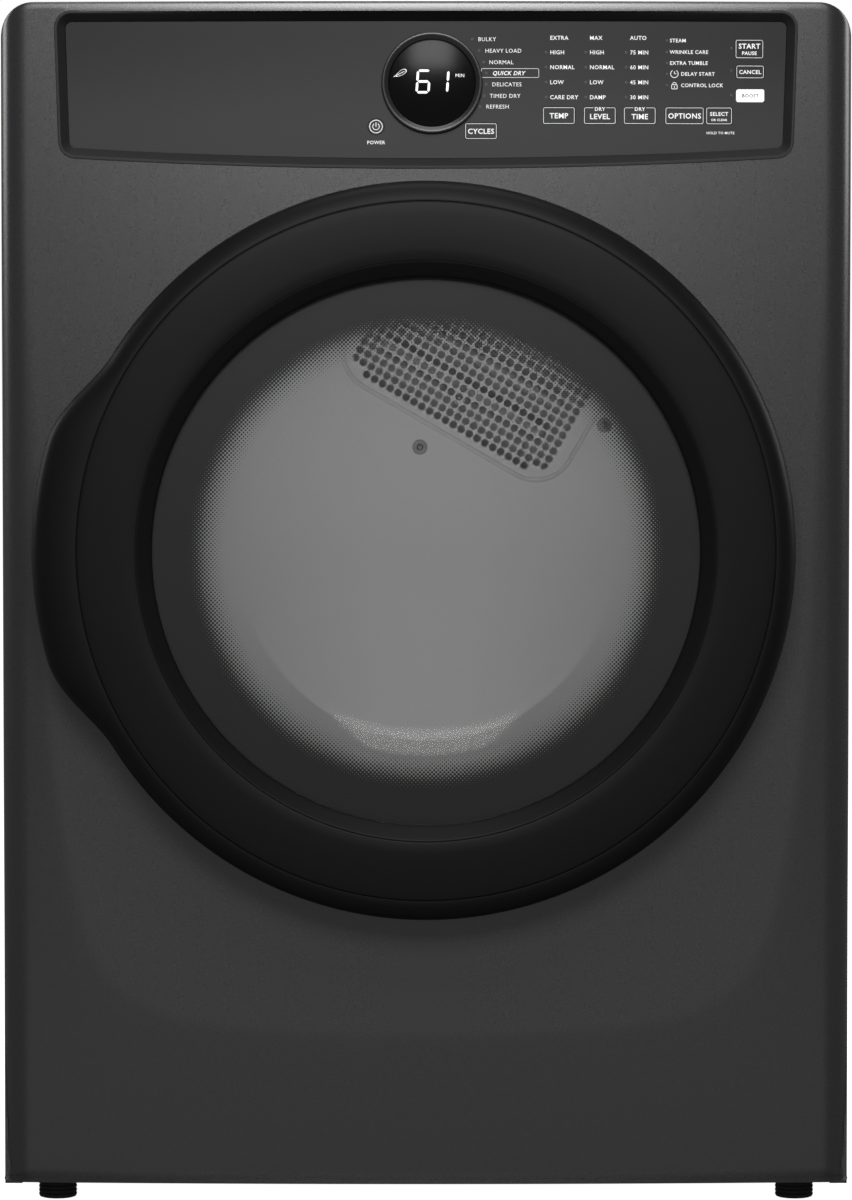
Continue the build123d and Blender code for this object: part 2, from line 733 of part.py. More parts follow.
housing_back = -198.0
with BuildPart() as blower_housing:
    for wall, mode in ((0, Mode.ADD), (2, Mode.SUBTRACT)):
        with BuildSketch(at_y(housing_back - wall)) as scroll:
            with Locations(motor_centre):
                Circle(84 - wall)
            with Locations(exhaust_centre):
                Circle(55 - wall)
            make_hull()
        extrude(scroll.sketch, amount=housing_back - duct_back - 2 * wall, mode=mode)
    ring(duct_back - 5, duct_back + 5, motor_centre, inlet_hole, mode=Mode.SUBTRACT)
    ring(housing_back - 5, housing_back + 5, motor_centre, shaft_radius + 3, mode=Mode.SUBTRACT)
    ring(housing_back - 5, housing_back + 5, exhaust_centre, exhaust_bore, mode=Mode.SUBTRACT)
blower_housing.part.label = "blower_housing"
export_step(blower_housing.part, "parts/blower_housing.step")

blade_count, blade_chord, blade_lean = 20, 18.0, 25.0
with BuildPart() as blower_wheel:
    ring(wheel_back - 2, wheel_back, motor_centre, wheel_radius)
    ring(wheel_front, wheel_front + 3, motor_centre, wheel_radius, wheel_radius - 16)
    ring(wheel_front + 4, wheel_back, motor_centre, 14)
    with BuildSketch(at_y(wheel_back)):
        for index in range(blade_count):
            angle = index * 360 / blade_count
            middle = around(*motor_centre, wheel_radius - blade_chord / 2, angle)
            with Locations(Location((*middle, 0), (0, 0, angle + blade_lean))):
                Rectangle(blade_chord, 1.6)
    extrude(amount=wheel_back - wheel_front)
    ring(wheel_front, wheel_back, motor_centre, wheel_radius, mode=Mode.INTERSECT)
    ring(-300, -150, motor_centre, shaft_radius, mode=Mode.SUBTRACT)
blower_wheel.part.label = "blower_wheel"
export_step(blower_wheel.part, "parts/blower_wheel.step")

collar_y = rear_y + 1
with BuildPart() as exhaust_duct:
    ring(housing_back, collar_y, exhaust_centre, exhaust_radius - collar_step)
    ring(collar_y, half_depth, exhaust_centre, exhaust_radius)
    ring(past_front, past_rear, exhaust_centre, exhaust_bore, mode=Mode.SUBTRACT)
exhaust_duct.part.label = "exhaust_duct"
export_step(exhaust_duct.part, "parts/exhaust_duct.step")

# ---------------------------------------------------------------- door

grip_turn, grip_blend, pocket_turn, backing_turn = 19.0, 31.0, 17.0, 24.0
grip_front = -391.0
ring_floor = 253.0  # middle of the finger pocket's inner wall
pocket_wall = 3.0  # half of that wall's thickness
hinge_pocket = -361.0
liner_front = -341.0


def wedge(y, low, high, turn):
    """Front view of a slice of the ring at the door's left, from low to high radius."""
    with BuildSketch(at_y(y)) as face:
        with BuildLine():
            inner = CenterArc(door_centre, low, 180 - turn, 2 * turn)
            outer = CenterArc(door_centre, high, 180 - turn, 2 * turn)
            Line(inner @ 0, outer @ 0)
            Line(inner @ 1, outer @ 1)
        make_face()
    return face.sketch


def grip_outline(y):
    """Front view of the grip: a concentric bulge that blends into the ring at both ends."""
    with BuildSketch(at_y(y)) as face:
        with BuildLine():
            outer = CenterArc(door_centre, grip_radius, 180 - grip_turn, 2 * grip_turn)
            high = around(*door_centre, door_radius - 1, 180 - grip_blend)
            low = around(*door_centre, door_radius - 1, 180 + grip_blend)
            inner_high = around(*door_centre, ring_floor - pocket_wall, 180 - grip_turn)
            inner_low = around(*door_centre, ring_floor - pocket_wall, 180 + grip_turn)
            Polyline(outer @ 0, high, inner_high, inner_low, low, outer @ 1)
        make_face()
    return face.sketch


outer_skin = [
    (door_radius, door_back),
    (door_radius, -384),
    (288.5, -392),
    (276.7, -398),
    (229, -400),
    (glass_radius, -391),
    (glass_radius, -386),
    (224, -386),
    (224, -345),
    (227, -345),
]
inner_skin = [
    (227, -396.7),
    (275, -395),
    (285.5, -390),
    (290.7, -383),
    (290.7, door_back),
]
with BuildPart() as door_frame:
    revolve(turned(closed(*outer_skin, *inner_skin)), axis=y_axis_door)
    extrude(wedge(-350, ring_floor - pocket_wall, 292, backing_turn), amount=41)
    extrude(wedge(door_back, ring_floor - pocket_wall, 292, backing_turn), amount=20)
    extrude(grip_outline(grip_back), amount=grip_back - grip_front)
    extrude(
        wedge(door_back, ring_floor + pocket_wall, 330, pocket_turn),
        amount=door_back - grip_back,
        mode=Mode.SUBTRACT,
    )
    block((232, hinge_pocket, door_z - 48), (300, -330, door_z + 48), mode=Mode.SUBTRACT)
    for z in (door_z - 27, door_z + 27):
        ring(-396, -369, (250, z), 6)
door_frame.part.label = "door_frame"
export_step(door_frame.part, "parts/door_frame.step")

with BuildPart() as door_window:
    ring(-386, -382, door_centre, 223.8)
door_window.part.label = "door_window"
export_step(door_window.part, "parts/door_window.step")

crown_radius = 900.0


def crowned(radius, apex):
    """Y of the bowl's shallow crown at a radius, for a crown whose middle is at apex."""
    return apex - crown_radius + sqrt(crown_radius**2 - radius**2)


def crown(apex, rim):
    """The crown's outline from its middle out to the rim, as an arc's three points."""
    return ((0, apex), (rim / 2, crowned(rim / 2, apex)), (rim, crowned(rim, apex)))


with BuildPart() as door_bowl:
    outside, inside = crown(-285, 165), crown(-290, 163)
    outline = closed(outside[2], (192, -320), (200, liner_front), (222, liner_front),
                     (222, -345), (196, -345), (187, -322), inside[2], inside[0], outside[0])
    outline[0] = outside
    outline[1] = (outside[2], (182, -307.5), (192, -320))
    outline[7] = ((187, -322), (178.5, -311.5), inside[2])
    outline[8] = inside
    revolve(turned(outline), axis=y_axis_door)
door_bowl.part.label = "door_bowl"
export_step(door_bowl.part, "parts/door_bowl.step")

with BuildPart() as door_liner:
    ring(liner_front, door_back, door_centre, 290.6, 203)
    extrude(
        wedge(-330, ring_floor - pocket_wall - 0.2, 300, backing_turn + 0.2),
        amount=30,
        mode=Mode.SUBTRACT,
    )
    block((catch_x - 2.2, -350, door_z - 10.2), (catch_x + 2.2, -330, door_z + 10.2), mode=Mode.SUBTRACT)
    block((232, -350, door_z - 48), (300, -330, door_z + 48), mode=Mode.SUBTRACT)
door_liner.part.label = "door_liner"
export_step(door_liner.part, "parts/door_liner.step")

with BuildPart() as door_strike:
    block((catch_x - 6, liner_front - 2, door_z - 12), (catch_x + 6, liner_front, door_z + 12))
    block(
        (catch_x - strike_thick / 2, liner_front, door_z - strike_half),
        (catch_x + strike_thick / 2, strike_tip, door_z + strike_half),
    )
    block((catch_x - 4, -326, door_z - 4), (catch_x + 4, -314, door_z + 4), mode=Mode.SUBTRACT)
door_strike.part.label = "door_strike"
export_step(door_strike.part, "parts/door_strike.step")

pin_radius, knuckle_radius = 4.0, 6.5
hinge_point = (hinge_x, hinge_y)
base_knuckles = ((door_z - 40.5, door_z - 18.5), (door_z + 18.5, door_z + 40.5))
with BuildPart() as hinge_base:
    block((240, -333, door_z - 46), (277, -318, door_z + 46))
    for low, high in base_knuckles:
        with BuildSketch(Plane.XY.offset(low)):
            with BuildLine():
                Polyline((258, -330), (276, -330), (287.5, -349), (277, -355.5), close=True)
            make_face()
            with Locations(hinge_point):
                Circle(knuckle_radius)
        extrude(amount=high - low)
    extrude(bow_band(0, 40), amount=height, mode=Mode.SUBTRACT)
    post(door_z - 42, door_z + 42, hinge_point, pin_radius)
hinge_base.part.label = "hinge_base"
export_step(hinge_base.part, "parts/hinge_base.step")

with BuildPart() as hinge_leaf:
    block((238, -369, door_z - 38), (284, -366, door_z + 38))
    with BuildSketch(Plane.XY.offset(door_z - 18)):
        with BuildLine():
            Polyline((276, -353), (288, -353), (284, -367), (268, -367), close=True)
        make_face()
        with Locations(hinge_point):
            Circle(knuckle_radius)
    extrude(amount=36)
    post(door_z - 50, door_z + 50, hinge_point, pin_radius + 0.05, mode=Mode.SUBTRACT)
hinge_leaf.part.label = "hinge_leaf"
export_step(hinge_leaf.part, "parts/hinge_leaf.step")
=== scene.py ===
"""The looks of a front-loading clothes dryer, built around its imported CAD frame.

Metres. +Z is up, the door faces -Y, and the origin is on the floor under the middle of the machine.
"""

from math import acos, atan2, cos, degrees, hypot, pi, radians, sin, sqrt

import bmesh
import bpy
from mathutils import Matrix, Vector


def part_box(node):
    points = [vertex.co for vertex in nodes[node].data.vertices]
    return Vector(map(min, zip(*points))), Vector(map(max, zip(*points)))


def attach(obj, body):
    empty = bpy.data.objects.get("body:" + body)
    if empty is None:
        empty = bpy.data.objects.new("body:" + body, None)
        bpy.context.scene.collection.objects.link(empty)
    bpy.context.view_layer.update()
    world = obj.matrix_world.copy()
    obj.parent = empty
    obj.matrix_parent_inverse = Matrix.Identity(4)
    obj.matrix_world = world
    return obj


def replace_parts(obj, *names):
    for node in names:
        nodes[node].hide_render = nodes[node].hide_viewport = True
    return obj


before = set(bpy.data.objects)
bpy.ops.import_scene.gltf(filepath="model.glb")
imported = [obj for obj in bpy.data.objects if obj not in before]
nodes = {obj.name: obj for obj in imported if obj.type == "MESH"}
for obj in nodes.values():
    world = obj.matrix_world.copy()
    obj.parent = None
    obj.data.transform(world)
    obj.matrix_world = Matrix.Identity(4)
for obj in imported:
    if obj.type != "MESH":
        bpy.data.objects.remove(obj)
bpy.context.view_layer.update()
scene = bpy.context.scene
MM = 0.001
axis_gap = 0.1 * MM  # a turned solid keeps clear of its axis by this
scene.view_settings.view_transform = "Standard"

# ------------------------------------------------------------------ measures read from the frame

front_low, front_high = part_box("front_panel")
ring_low, ring_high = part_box("door_frame")

half_width = front_high.x
front_y = front_low.y
seam_y = front_high.y
panel_low = front_low.z
panel_high = front_high.z
edge_radius = 22 * MM
flat_half = half_width - edge_radius
bow = 10 * MM
bow_radius = (flat_half**2 + bow**2) / (2 * bow)
top_radius = 28 * MM

door_radius = ring_high.x
door_back = ring_high.y
opening_radius = 226 * MM


def middle_of(name):
    """(x, z) of the middle of a node's box."""
    low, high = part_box(name)
    return (low.x + high.x) / 2, (low.z + high.z) / 2


door_z = middle_of("door_window")[1]
drum_z = middle_of("drum_shell")[1]
display_x, display_z = middle_of("display_lens")


def smooth(value, low, high):
    """0 below low, 1 above high, and a smooth step between."""
    t = min(max((value - low) / (high - low), 0.0), 1.0)
    return t * t * (3 - 2 * t)


def bow_y(x, inset=0.0):
    """Y of the front's gentle bow at x, or of a copy of it that lies inset behind."""
    return front_y + bow_radius - sqrt((bow_radius - inset) ** 2 - x * x)


# ------------------------------------------------------------------ mesh helpers


def shade(mesh, smooth_angle):
    """Shades a mesh smooth except across edges sharper than smooth_angle."""
    work = bmesh.new()
    work.from_mesh(mesh)
    bmesh.ops.remove_doubles(work, verts=work.verts, dist=1e-6)
    bmesh.ops.recalc_face_normals(work, faces=work.faces)
    for face in work.faces:
        face.smooth = True
    for edge in work.edges:
        edge.smooth = len(edge.link_faces) == 2 and edge.calc_face_angle(0) < radians(smooth_angle)
    work.to_mesh(mesh)
    work.free()


def new_piece(name, verts, faces, body, material, smooth_angle=40):
    """A mesh piece that rides on a body and wears one material."""
    mesh = bpy.data.meshes.new(name)
    mesh.from_pydata(verts, [], faces)
    mesh.validate()
    shade(mesh, smooth_angle)
    piece = bpy.data.objects.new(name, mesh)
    scene.collection.objects.link(piece)
    piece.data.materials.append(material)
    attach(piece, body)
    return piece


def grid_faces(rows, columns, wrap=False):
    """Quads of a rows by columns grid of points, closed around its columns when wrapped."""
    last = columns if wrap else columns - 1
    return [
        (r * columns + c, r * columns + (c + 1) % columns,
         (r + 1) * columns + (c + 1) % columns, (r + 1) * columns + c)
        for r in range(rows - 1)
        for c in range(last)
    ]


def closed_faces(rows, columns):
    """Quads of a grid of points that is closed around its columns, and from its last row to its first."""
    last = (rows - 1) * columns
    seam = [(c, (c + 1) % columns, last + (c + 1) % columns, last + c) for c in range(columns)]
    return grid_faces(rows, columns, wrap=True) + seam


def scaled(points):
    """Points given in mm, in metres."""
    return [(a * MM, b * MM) for a, b in points]


def lathe(profile, centre, segments=192):
    """A (radius, y) profile in metres turned about a line along Y through centre (x, z)."""
    verts = []
    for radius, y in profile:
        for step in range(segments):
            angle = 2 * pi * step / segments
            verts.append((centre[0] + radius * cos(angle), y, centre[1] + radius * sin(angle)))
    return verts, closed_faces(len(profile), segments)


def upright_lathe(profile, centre, segments=48):
    """A (radius, z) profile in metres turned about a vertical line through centre (x, y), capped."""
    verts = []
    for radius, z in profile:
        for step in range(segments):
            angle = 2 * pi * step / segments
            verts.append((centre[0] + radius * cos(angle), centre[1] + radius * sin(angle), z))
    faces = grid_faces(len(profile), segments, wrap=True)
    faces.append(tuple(range(segments)))
    faces.append(tuple((len(profile) - 1) * segments + c for c in range(segments)))
    return verts, faces


def rounded(points, radii, steps=6):
    """A closed outline of corner points with each corner rounded by its radius."""
    outline = []
    count = len(points)
    for i, (corner, radius) in enumerate(zip(points, radii)):
        here = Vector(corner)
        back = (Vector(points[i - 1]) - here).normalized()
        ahead = (Vector(points[(i + 1) % count]) - here).normalized()
        if radius <= 0:
            outline.append(tuple(here))
            continue
        half_turn = acos(max(-1.0, min(1.0, back.dot(ahead)))) / 2
        reach = radius / (sin(half_turn) / cos(half_turn))
        middle = here + (back + ahead).normalized() * (radius / sin(half_turn))
        start, end = here + back * reach - middle, here + ahead * reach - middle
        first = atan2(start.y, start.x)
        turn = (atan2(end.y, end.x) - first + pi) % (2 * pi) - pi
        for step in range(steps + 1):
            angle = first + turn * step / steps
            outline.append((middle.x + radius * cos(angle), middle.y + radius * sin(angle)))
    return outline


# ------------------------------------------------------------------ materials


def grey(tone):
    """An even grey colour."""
    return (tone, tone, tone)


def material(name, color, roughness, metallic=0.0, **sockets):
    """A Principled material with its plain values set on the shader's own sockets."""
    made = bpy.data.materials.new(name)
    made.use_nodes = True
    shader = made.node_tree.nodes["Principled BSDF"]
    shader.inputs["Base Color"].default_value = (*color, 1)
    shader.inputs["Roughness"].default_value = roughness
    shader.inputs["Metallic"].default_value = metallic
    for socket, value in sockets.items():
        shader.inputs[socket.replace("_", " ")].default_value = value
    return made


def node(made, kind, **settings):
    """Adds a node and sets its properties, and its inputs where the name starts with in_."""
    added = made.node_tree.nodes.new(kind)
    for key, value in settings.items():
        if key.startswith("in_"):
            added.inputs[key[3:].replace("_", " ")].default_value = value
        else:
            setattr(added, key, value)
    return added


def link(made, source, target):
    """Joins an output socket to an input socket."""
    made.node_tree.links.new(source, target)


def place(made):
    """The socket that gives a point's place in the row frame, in metres."""
    return node(made, "ShaderNodeTexCoord").outputs["Object"]


def noise(made, scale, detail=2.0, stretch=None):
    """A noise texture's value socket, in features per metre, stretched along an axis if asked."""
    texture = node(made, "ShaderNodeTexNoise", in_Scale=scale, in_Detail=detail)
    if stretch:
        mapping = node(made, "ShaderNodeMapping")
        mapping.inputs["Scale"].default_value = stretch
        link(made, place(made), mapping.inputs["Vector"])
        link(made, mapping.outputs["Vector"], texture.inputs["Vector"])
    else:
        link(made, place(made), texture.inputs["Vector"])
    return texture.outputs["Fac"]


def spread(made, value, low, high, from_low=0.3, from_high=0.7):
    """Maps a 0 to 1 value onto low to high."""
    mapped = node(made, "ShaderNodeMapRange", in_From_Min=from_low, in_From_Max=from_high,
                  in_To_Min=low, in_To_Max=high)
    link(made, value, mapped.inputs["Value"])
    return mapped.outputs["Result"]


def tint(made, value, dark, light):
    """Drives the base colour between two colours by a value."""
    mix = node(made, "ShaderNodeMix", data_type="RGBA", in_A=(*dark, 1), in_B=(*light, 1))
    link(made, value, mix.inputs["Factor"])
    link(made, mix.outputs["Result"], made.node_tree.nodes["Principled BSDF"].inputs["Base Color"])


def bump(made, value, depth):
    """Adds relief of a given depth in metres."""
    relief = node(made, "ShaderNodeBump", in_Strength=1.0, in_Distance=depth)
    link(made, value, relief.inputs["Height"])
    link(made, relief.outputs["Normal"], made.node_tree.nodes["Principled BSDF"].inputs["Normal"])


def textured(name, color, roughness, metallic=0.0, grain=900.0, contrast=0.12, depth=0.00002,
             roughness_swing=0.05, stretch=None, **sockets):
    """A Principled material whose colour, roughness and relief follow one fine grain."""
    made = material(name, color, roughness, metallic, **sockets)
    value = noise(made, grain, 3.0, stretch)
    even = spread(made, value, 0.0, 1.0)
    tint(made, even, [c * (1 - contrast) for c in color], [min(c * (1 + contrast), 1) for c in color])
    shader = made.node_tree.nodes["Principled BSDF"]
    link(made, spread(made, value, roughness - roughness_swing, roughness + roughness_swing),
         shader.inputs["Roughness"])
    if depth:
        bump(made, value, depth)
    return made


def height_painted_shading(name, upper, lower, high, low, roughness):
    """A finish that goes from one colour at a height to another lower down, under a fine grain: the change
    is painted light and shade, standing in for a face that turns towards the light lower down.
    """
    made = material(name, upper, roughness, Specular_IOR_Level=0.35)
    split = node(made, "ShaderNodeSeparateXYZ")
    link(made, place(made), split.inputs["Vector"])
    fade = node(made, "ShaderNodeMapRange", interpolation_type="SMOOTHSTEP", in_From_Min=high,
                in_From_Max=low)
    link(made, split.outputs["Z"], fade.inputs["Value"])
    grain = spread(made, noise(made, 2400, 3.0), -0.08, 0.08)
    both = node(made, "ShaderNodeMath", operation="ADD", use_clamp=True)
    link(made, fade.outputs["Result"], both.inputs[0])
    link(made, grain, both.inputs[1])
    tint(made, both.outputs[0], upper, lower)
    bump(made, grain, 0.00003)
    return made


paint = textured("titanium_paint", (0.105, 0.105, 0.106), 0.29, 0.8, grain=1400, contrast=0.16,
                 depth=0.000008, roughness_swing=0.04)
door_black = textured("door_black", grey(0.006), 0.45, grain=2600, contrast=0.2,
                      depth=0.000006, roughness_swing=0.04, Specular_IOR_Level=0.14)
bezel_black = textured("bezel_black", (0.024, 0.024, 0.0245), 0.45, grain=2400, contrast=0.16,
                       depth=0.000006, Specular_IOR_Level=0.3)
wall_screw_steel = textured("screw_steel", grey(0.13), 0.5, 0.5, grain=700, contrast=0.1)
# grey for the heater coil; on the heater housing the same grey is painted shade, so the grille's holes read
# dim
coil_grey_and_housing_shade = textured("coil_grey_and_housing_shade", grey(0.36), 0.9, grain=500, contrast=0.1)
# the console and its keys are painted lighter towards the bottom: painted light and shade standing in for a
# face that catches more light lower down
console_painted_shading = height_painted_shading("console_charcoal_painted_shading", (0.011, 0.011, 0.0112), (0.034, 0.034, 0.0345), 955 * MM,
                       860 * MM, 0.45)
trim_black = textured("dial_black", (0.014, 0.014, 0.015), 0.28, grain=2600, contrast=0.15, depth=0.000004)
lens_black = textured("display_black", grey(0.005), 0.2, grain=3000, contrast=0.1, depth=0.0,
                      Specular_IOR_Level=0.12)
# white print with a faint glow of its own: a painted glow, since the print is no lamp
print_white_painted_glow = material("print_white_painted_glow", grey(0.9), 0.6, Emission_Color=(1, 1, 1, 1),
                       Emission_Strength=0.3)
print_grey = material("print_grey", grey(0.2), 0.6)
enamel = textured("drum_enamel", grey(0.34), 0.45, 0.0, grain=1100, contrast=0.07, depth=0.00002)
galvanised = textured("galvanised_steel", (0.36, 0.37, 0.38), 0.42, 0.9, grain=110, contrast=0.18,
                      depth=0.000005, roughness_swing=0.1)
steel = textured("zinc_steel", grey(0.5), 0.35, 1.0, grain=500, contrast=0.1,
                 stretch=(1.0, 12.0, 1.0))
duct_metal = textured("aluminised_sheet", (0.6, 0.61, 0.62), 0.35, 0.95, grain=160, contrast=0.12)
rubber_black = textured("black_rubber", grey(0.008), 0.72, grain=1800, contrast=0.3, depth=0.00003)
rubber_grey = textured("grey_rubber", grey(0.12), 0.65, grain=1500, contrast=0.15, depth=0.00003)
felt_wool = textured("felt_wool", (0.42, 0.4, 0.37), 0.95, grain=1600, contrast=0.35, depth=0.0002)
plastic_grey = textured("moulded_grey", grey(0.2), 0.5, grain=1800, contrast=0.08, depth=0.00002)
plastic_pale = textured("nylon_pale", (0.6, 0.6, 0.57), 0.45, grain=1500, contrast=0.05)
board_green = textured("circuit_green", (0.01, 0.07, 0.03), 0.4, grain=300, contrast=0.3)
lamp_white = textured("lamp_frost", (0.8, 0.8, 0.78), 0.3, grain=900, contrast=0.03)
lit_white = material("lit_white", grey(0.9), 0.4, Emission_Color=(1, 1, 1, 1),
                     Emission_Strength=0.55)


def clear_glass(name, tone, gloss, share):
    """Thin clear glass: what lies behind shows through, under a share of a glancing gloss."""
    made = bpy.data.materials.new(name)
    made.use_nodes = True
    tree = made.node_tree
    tree.nodes.remove(tree.nodes["Principled BSDF"])
    through = node(made, "ShaderNodeBsdfTransparent", in_Color=(*grey(tone), 1))
    shine = node(made, "ShaderNodeBsdfGlossy", in_Roughness=0.06)
    rim = node(made, "ShaderNodeFresnel", in_IOR=gloss)
    mix = node(made, "ShaderNodeMixShader")
    soften = node(made, "ShaderNodeMath", operation="MULTIPLY")
    soften.inputs[1].default_value = share
    link(made, rim.outputs["Fac"], soften.inputs[0])
    link(made, soften.outputs[0], mix.inputs["Fac"])
    link(made, through.outputs["BSDF"], mix.inputs[1])
    link(made, shine.outputs["BSDF"], mix.inputs[2])
    link(made, mix.outputs["Shader"], tree.nodes["Material Output"].inputs["Surface"])
    return made


window_clear = clear_glass("window_clear", 0.97, 1.35, 0.22)
bowl_clear = clear_glass("bowl_clear", 0.95, 1.4, 0.16)

cad_finish = {
    paint: ("side_panel_left", "side_panel_right", "top_panel"),
    galvanised: ("rear_panel", "base_pan", "terminal_cover", "motor_bracket"),
    enamel: ("drum_shell", "front_bulkhead", "rear_bulkhead", "inlet_grille"),
    door_black: ("door_liner",),
    felt_wool: ("drum_seals",),
    plastic_grey: ("lint_duct", "drum_baffles", "door_catch", "blower_housing", "blower_wheel",
                   "water_valve", "lint_screen"),
    lamp_white: ("drum_light",),
    # the housing's grey is painted shade for the dim inside seen through the grille
    coil_grey_and_housing_shade: ("heater_coil", "heater_housing"),
    steel: ("moisture_sensor", "roller_axles", "motor_rotor", "idler_arm", "door_strike",
            "hinge_base", "hinge_leaf"),
    duct_metal: ("exhaust_duct",),
    rubber_black: ("roller_left", "roller_right", "drive_belt"),
    plastic_pale: ("idler_pulley",),
    board_green: ("control_board",),
    # these wear the painted shading that lightens towards the bottom
    console_painted_shading: ("console_panel", "key_power", "key_cycles", "key_temp", "key_dry_level", "key_dry_time",
                    "key_options", "key_select", "key_start_pause", "key_cancel"),
    lit_white: ("key_boost",),
    rubber_grey: ("door_seal",),
    trim_black: ("motor_housing",),
}
for made, names in cad_finish.items():
    for name in names:
        nodes[name].data.materials.clear()
        nodes[name].data.materials.append(made)

# ------------------------------------------------------------------ camera


def aim(thing, place_at, target):
    """Points a camera or light at a target."""
    thing.location = place_at
    thing.rotation_euler = (Vector(target) - Vector(place_at)).to_track_quat("-Z", "Y").to_euler()


camera_data = bpy.data.cameras.new("camera")
camera = bpy.data.objects.new("camera", camera_data)
scene.collection.objects.link(camera)
camera_data.sensor_width = 36
camera_data.lens = 148.48
camera_height, camera_y, camera_pitch = 0.6398, -4.310, radians(2.1275)
camera.location = (0, camera_y, camera_height)
camera.rotation_euler = (pi / 2 - camera_pitch, 0, 0)
scene.camera = camera

# ------------------------------------------------------------------ front panel

# the lower front's soft crease, right half, from the top down to the middle of the lower edge (mm)
crease_points = (
    (322, 1000), (322, 900), (321, 780), (315.5, 653), (309, 492), (303, 411), (294, 331), (280, 250),
    (267, 207), (248, 180), (218, 161), (172, 150), (105, 144.6), (40, 142.4), (0, 142.2),
)
crease_slope = 0.12
crease_fade = 620 * MM, 860 * MM  # heights between which it dies away


def curve_through(points, steps):
    """A Catmull-Rom curve through points."""
    path = []
    padded = [points[0], *points, points[-1]]
    for i in range(1, len(padded) - 2):
        a, b, c, d = (Vector(p) for p in padded[i - 1:i + 3])
        for step in range(steps):
            t = step / steps
            path.append(0.5 * (2 * b + (c - a) * t + (2 * a - 5 * b + 4 * c - d) * t * t
                               + (3 * b - a - 3 * c + d) * t**3))
    path.append(Vector(points[-1]))
    return path


crease = [point * MM for point in curve_through(crease_points, 5)]


def nearest_between(a, b, spot):
    """The point between a and b that is nearest to a spot."""
    along = b - a
    return a + along * max(0.0, min(1.0, (spot - a).dot(along) / max(along.length_squared, 1e-12)))


def beyond_crease(x, z):
    """How far a point of the front lies outside the crease, or 0 inside it."""
    here = Vector((abs(x), z))
    best, outside = 9.0, False
    for a, b in zip(crease, crease[1:]):
        along = b - a
        gap = here - nearest_between(a, b, here)
        if gap.length < best:
            best = gap.length
            outside = gap.x * -along.y + gap.y * along.x > 0
    return best if outside else 0.0


def crease_fall(x, z):
    """How far the front falls back outside the crease."""
    gap = beyond_crease(x, z)
    soft = 5 * MM
    fade = 1 - smooth(z, *crease_fade)
    return crease_slope * fade * (sqrt(gap * gap + soft * soft) - soft)


def front_columns():
    """Plan points (x, y) of the front panel from its left seam round to its right seam."""
    side_flat, turn_steps, count = 34 * MM, 10, 176
    columns = [(-half_width, seam_y), (-half_width, front_y + side_flat)]
    for step in range(turn_steps + 1):
        angle = pi + pi / 2 * step / turn_steps
        columns.append((-flat_half + edge_radius * cos(angle),
                        bow_y(flat_half) + edge_radius + edge_radius * sin(angle)))
    side_count = len(columns)
    for step in range(1, count):
        x = -flat_half + 2 * flat_half * step / count
        columns.append((x, bow_y(x)))
    return columns + [(-x, y) for x, y in reversed(columns[:side_count])]


def console_edge(grow, steps=10):
    """The console's outline in the front view: rounded corners and a lower edge that bows down."""
    half, top = 298 * MM + grow, 964 * MM + grow
    side_low, mid_low = 848 * MM - grow, 838.7 * MM - grow
    foot = half - 4 * MM
    sag = side_low - mid_low
    low = [(foot - 2 * foot * step / 24, side_low - sag * (1 - (1 - step / 12) ** 2)) for step in range(25)]
    corner = 13 * MM + grow
    return rounded([(-half, top), (half, top), *low], [corner, corner, corner] + [0] * 23 + [corner], steps)


def inside(outline, x, z):
    """Whether a point lies inside a closed outline."""
    within = False
    for (x1, z1), (x2, z2) in zip(outline, outline[1:] + outline[:1]):
        if (z1 > z) != (z2 > z) and x < (x2 - x1) * (z - z1) / (z2 - z1) + x1:
            within = not within
    return within


def nearest_on(outline, x, z):
    """The point of a closed outline nearest to a point."""
    here, best, found = Vector((x, z)), 9.0, None
    for a, b in zip(outline, outline[1:] + outline[:1]):
        spot = nearest_between(Vector(a), Vector(b), here)
        if (here - spot).length < best:
            best, found = (here - spot).length, spot
    return found


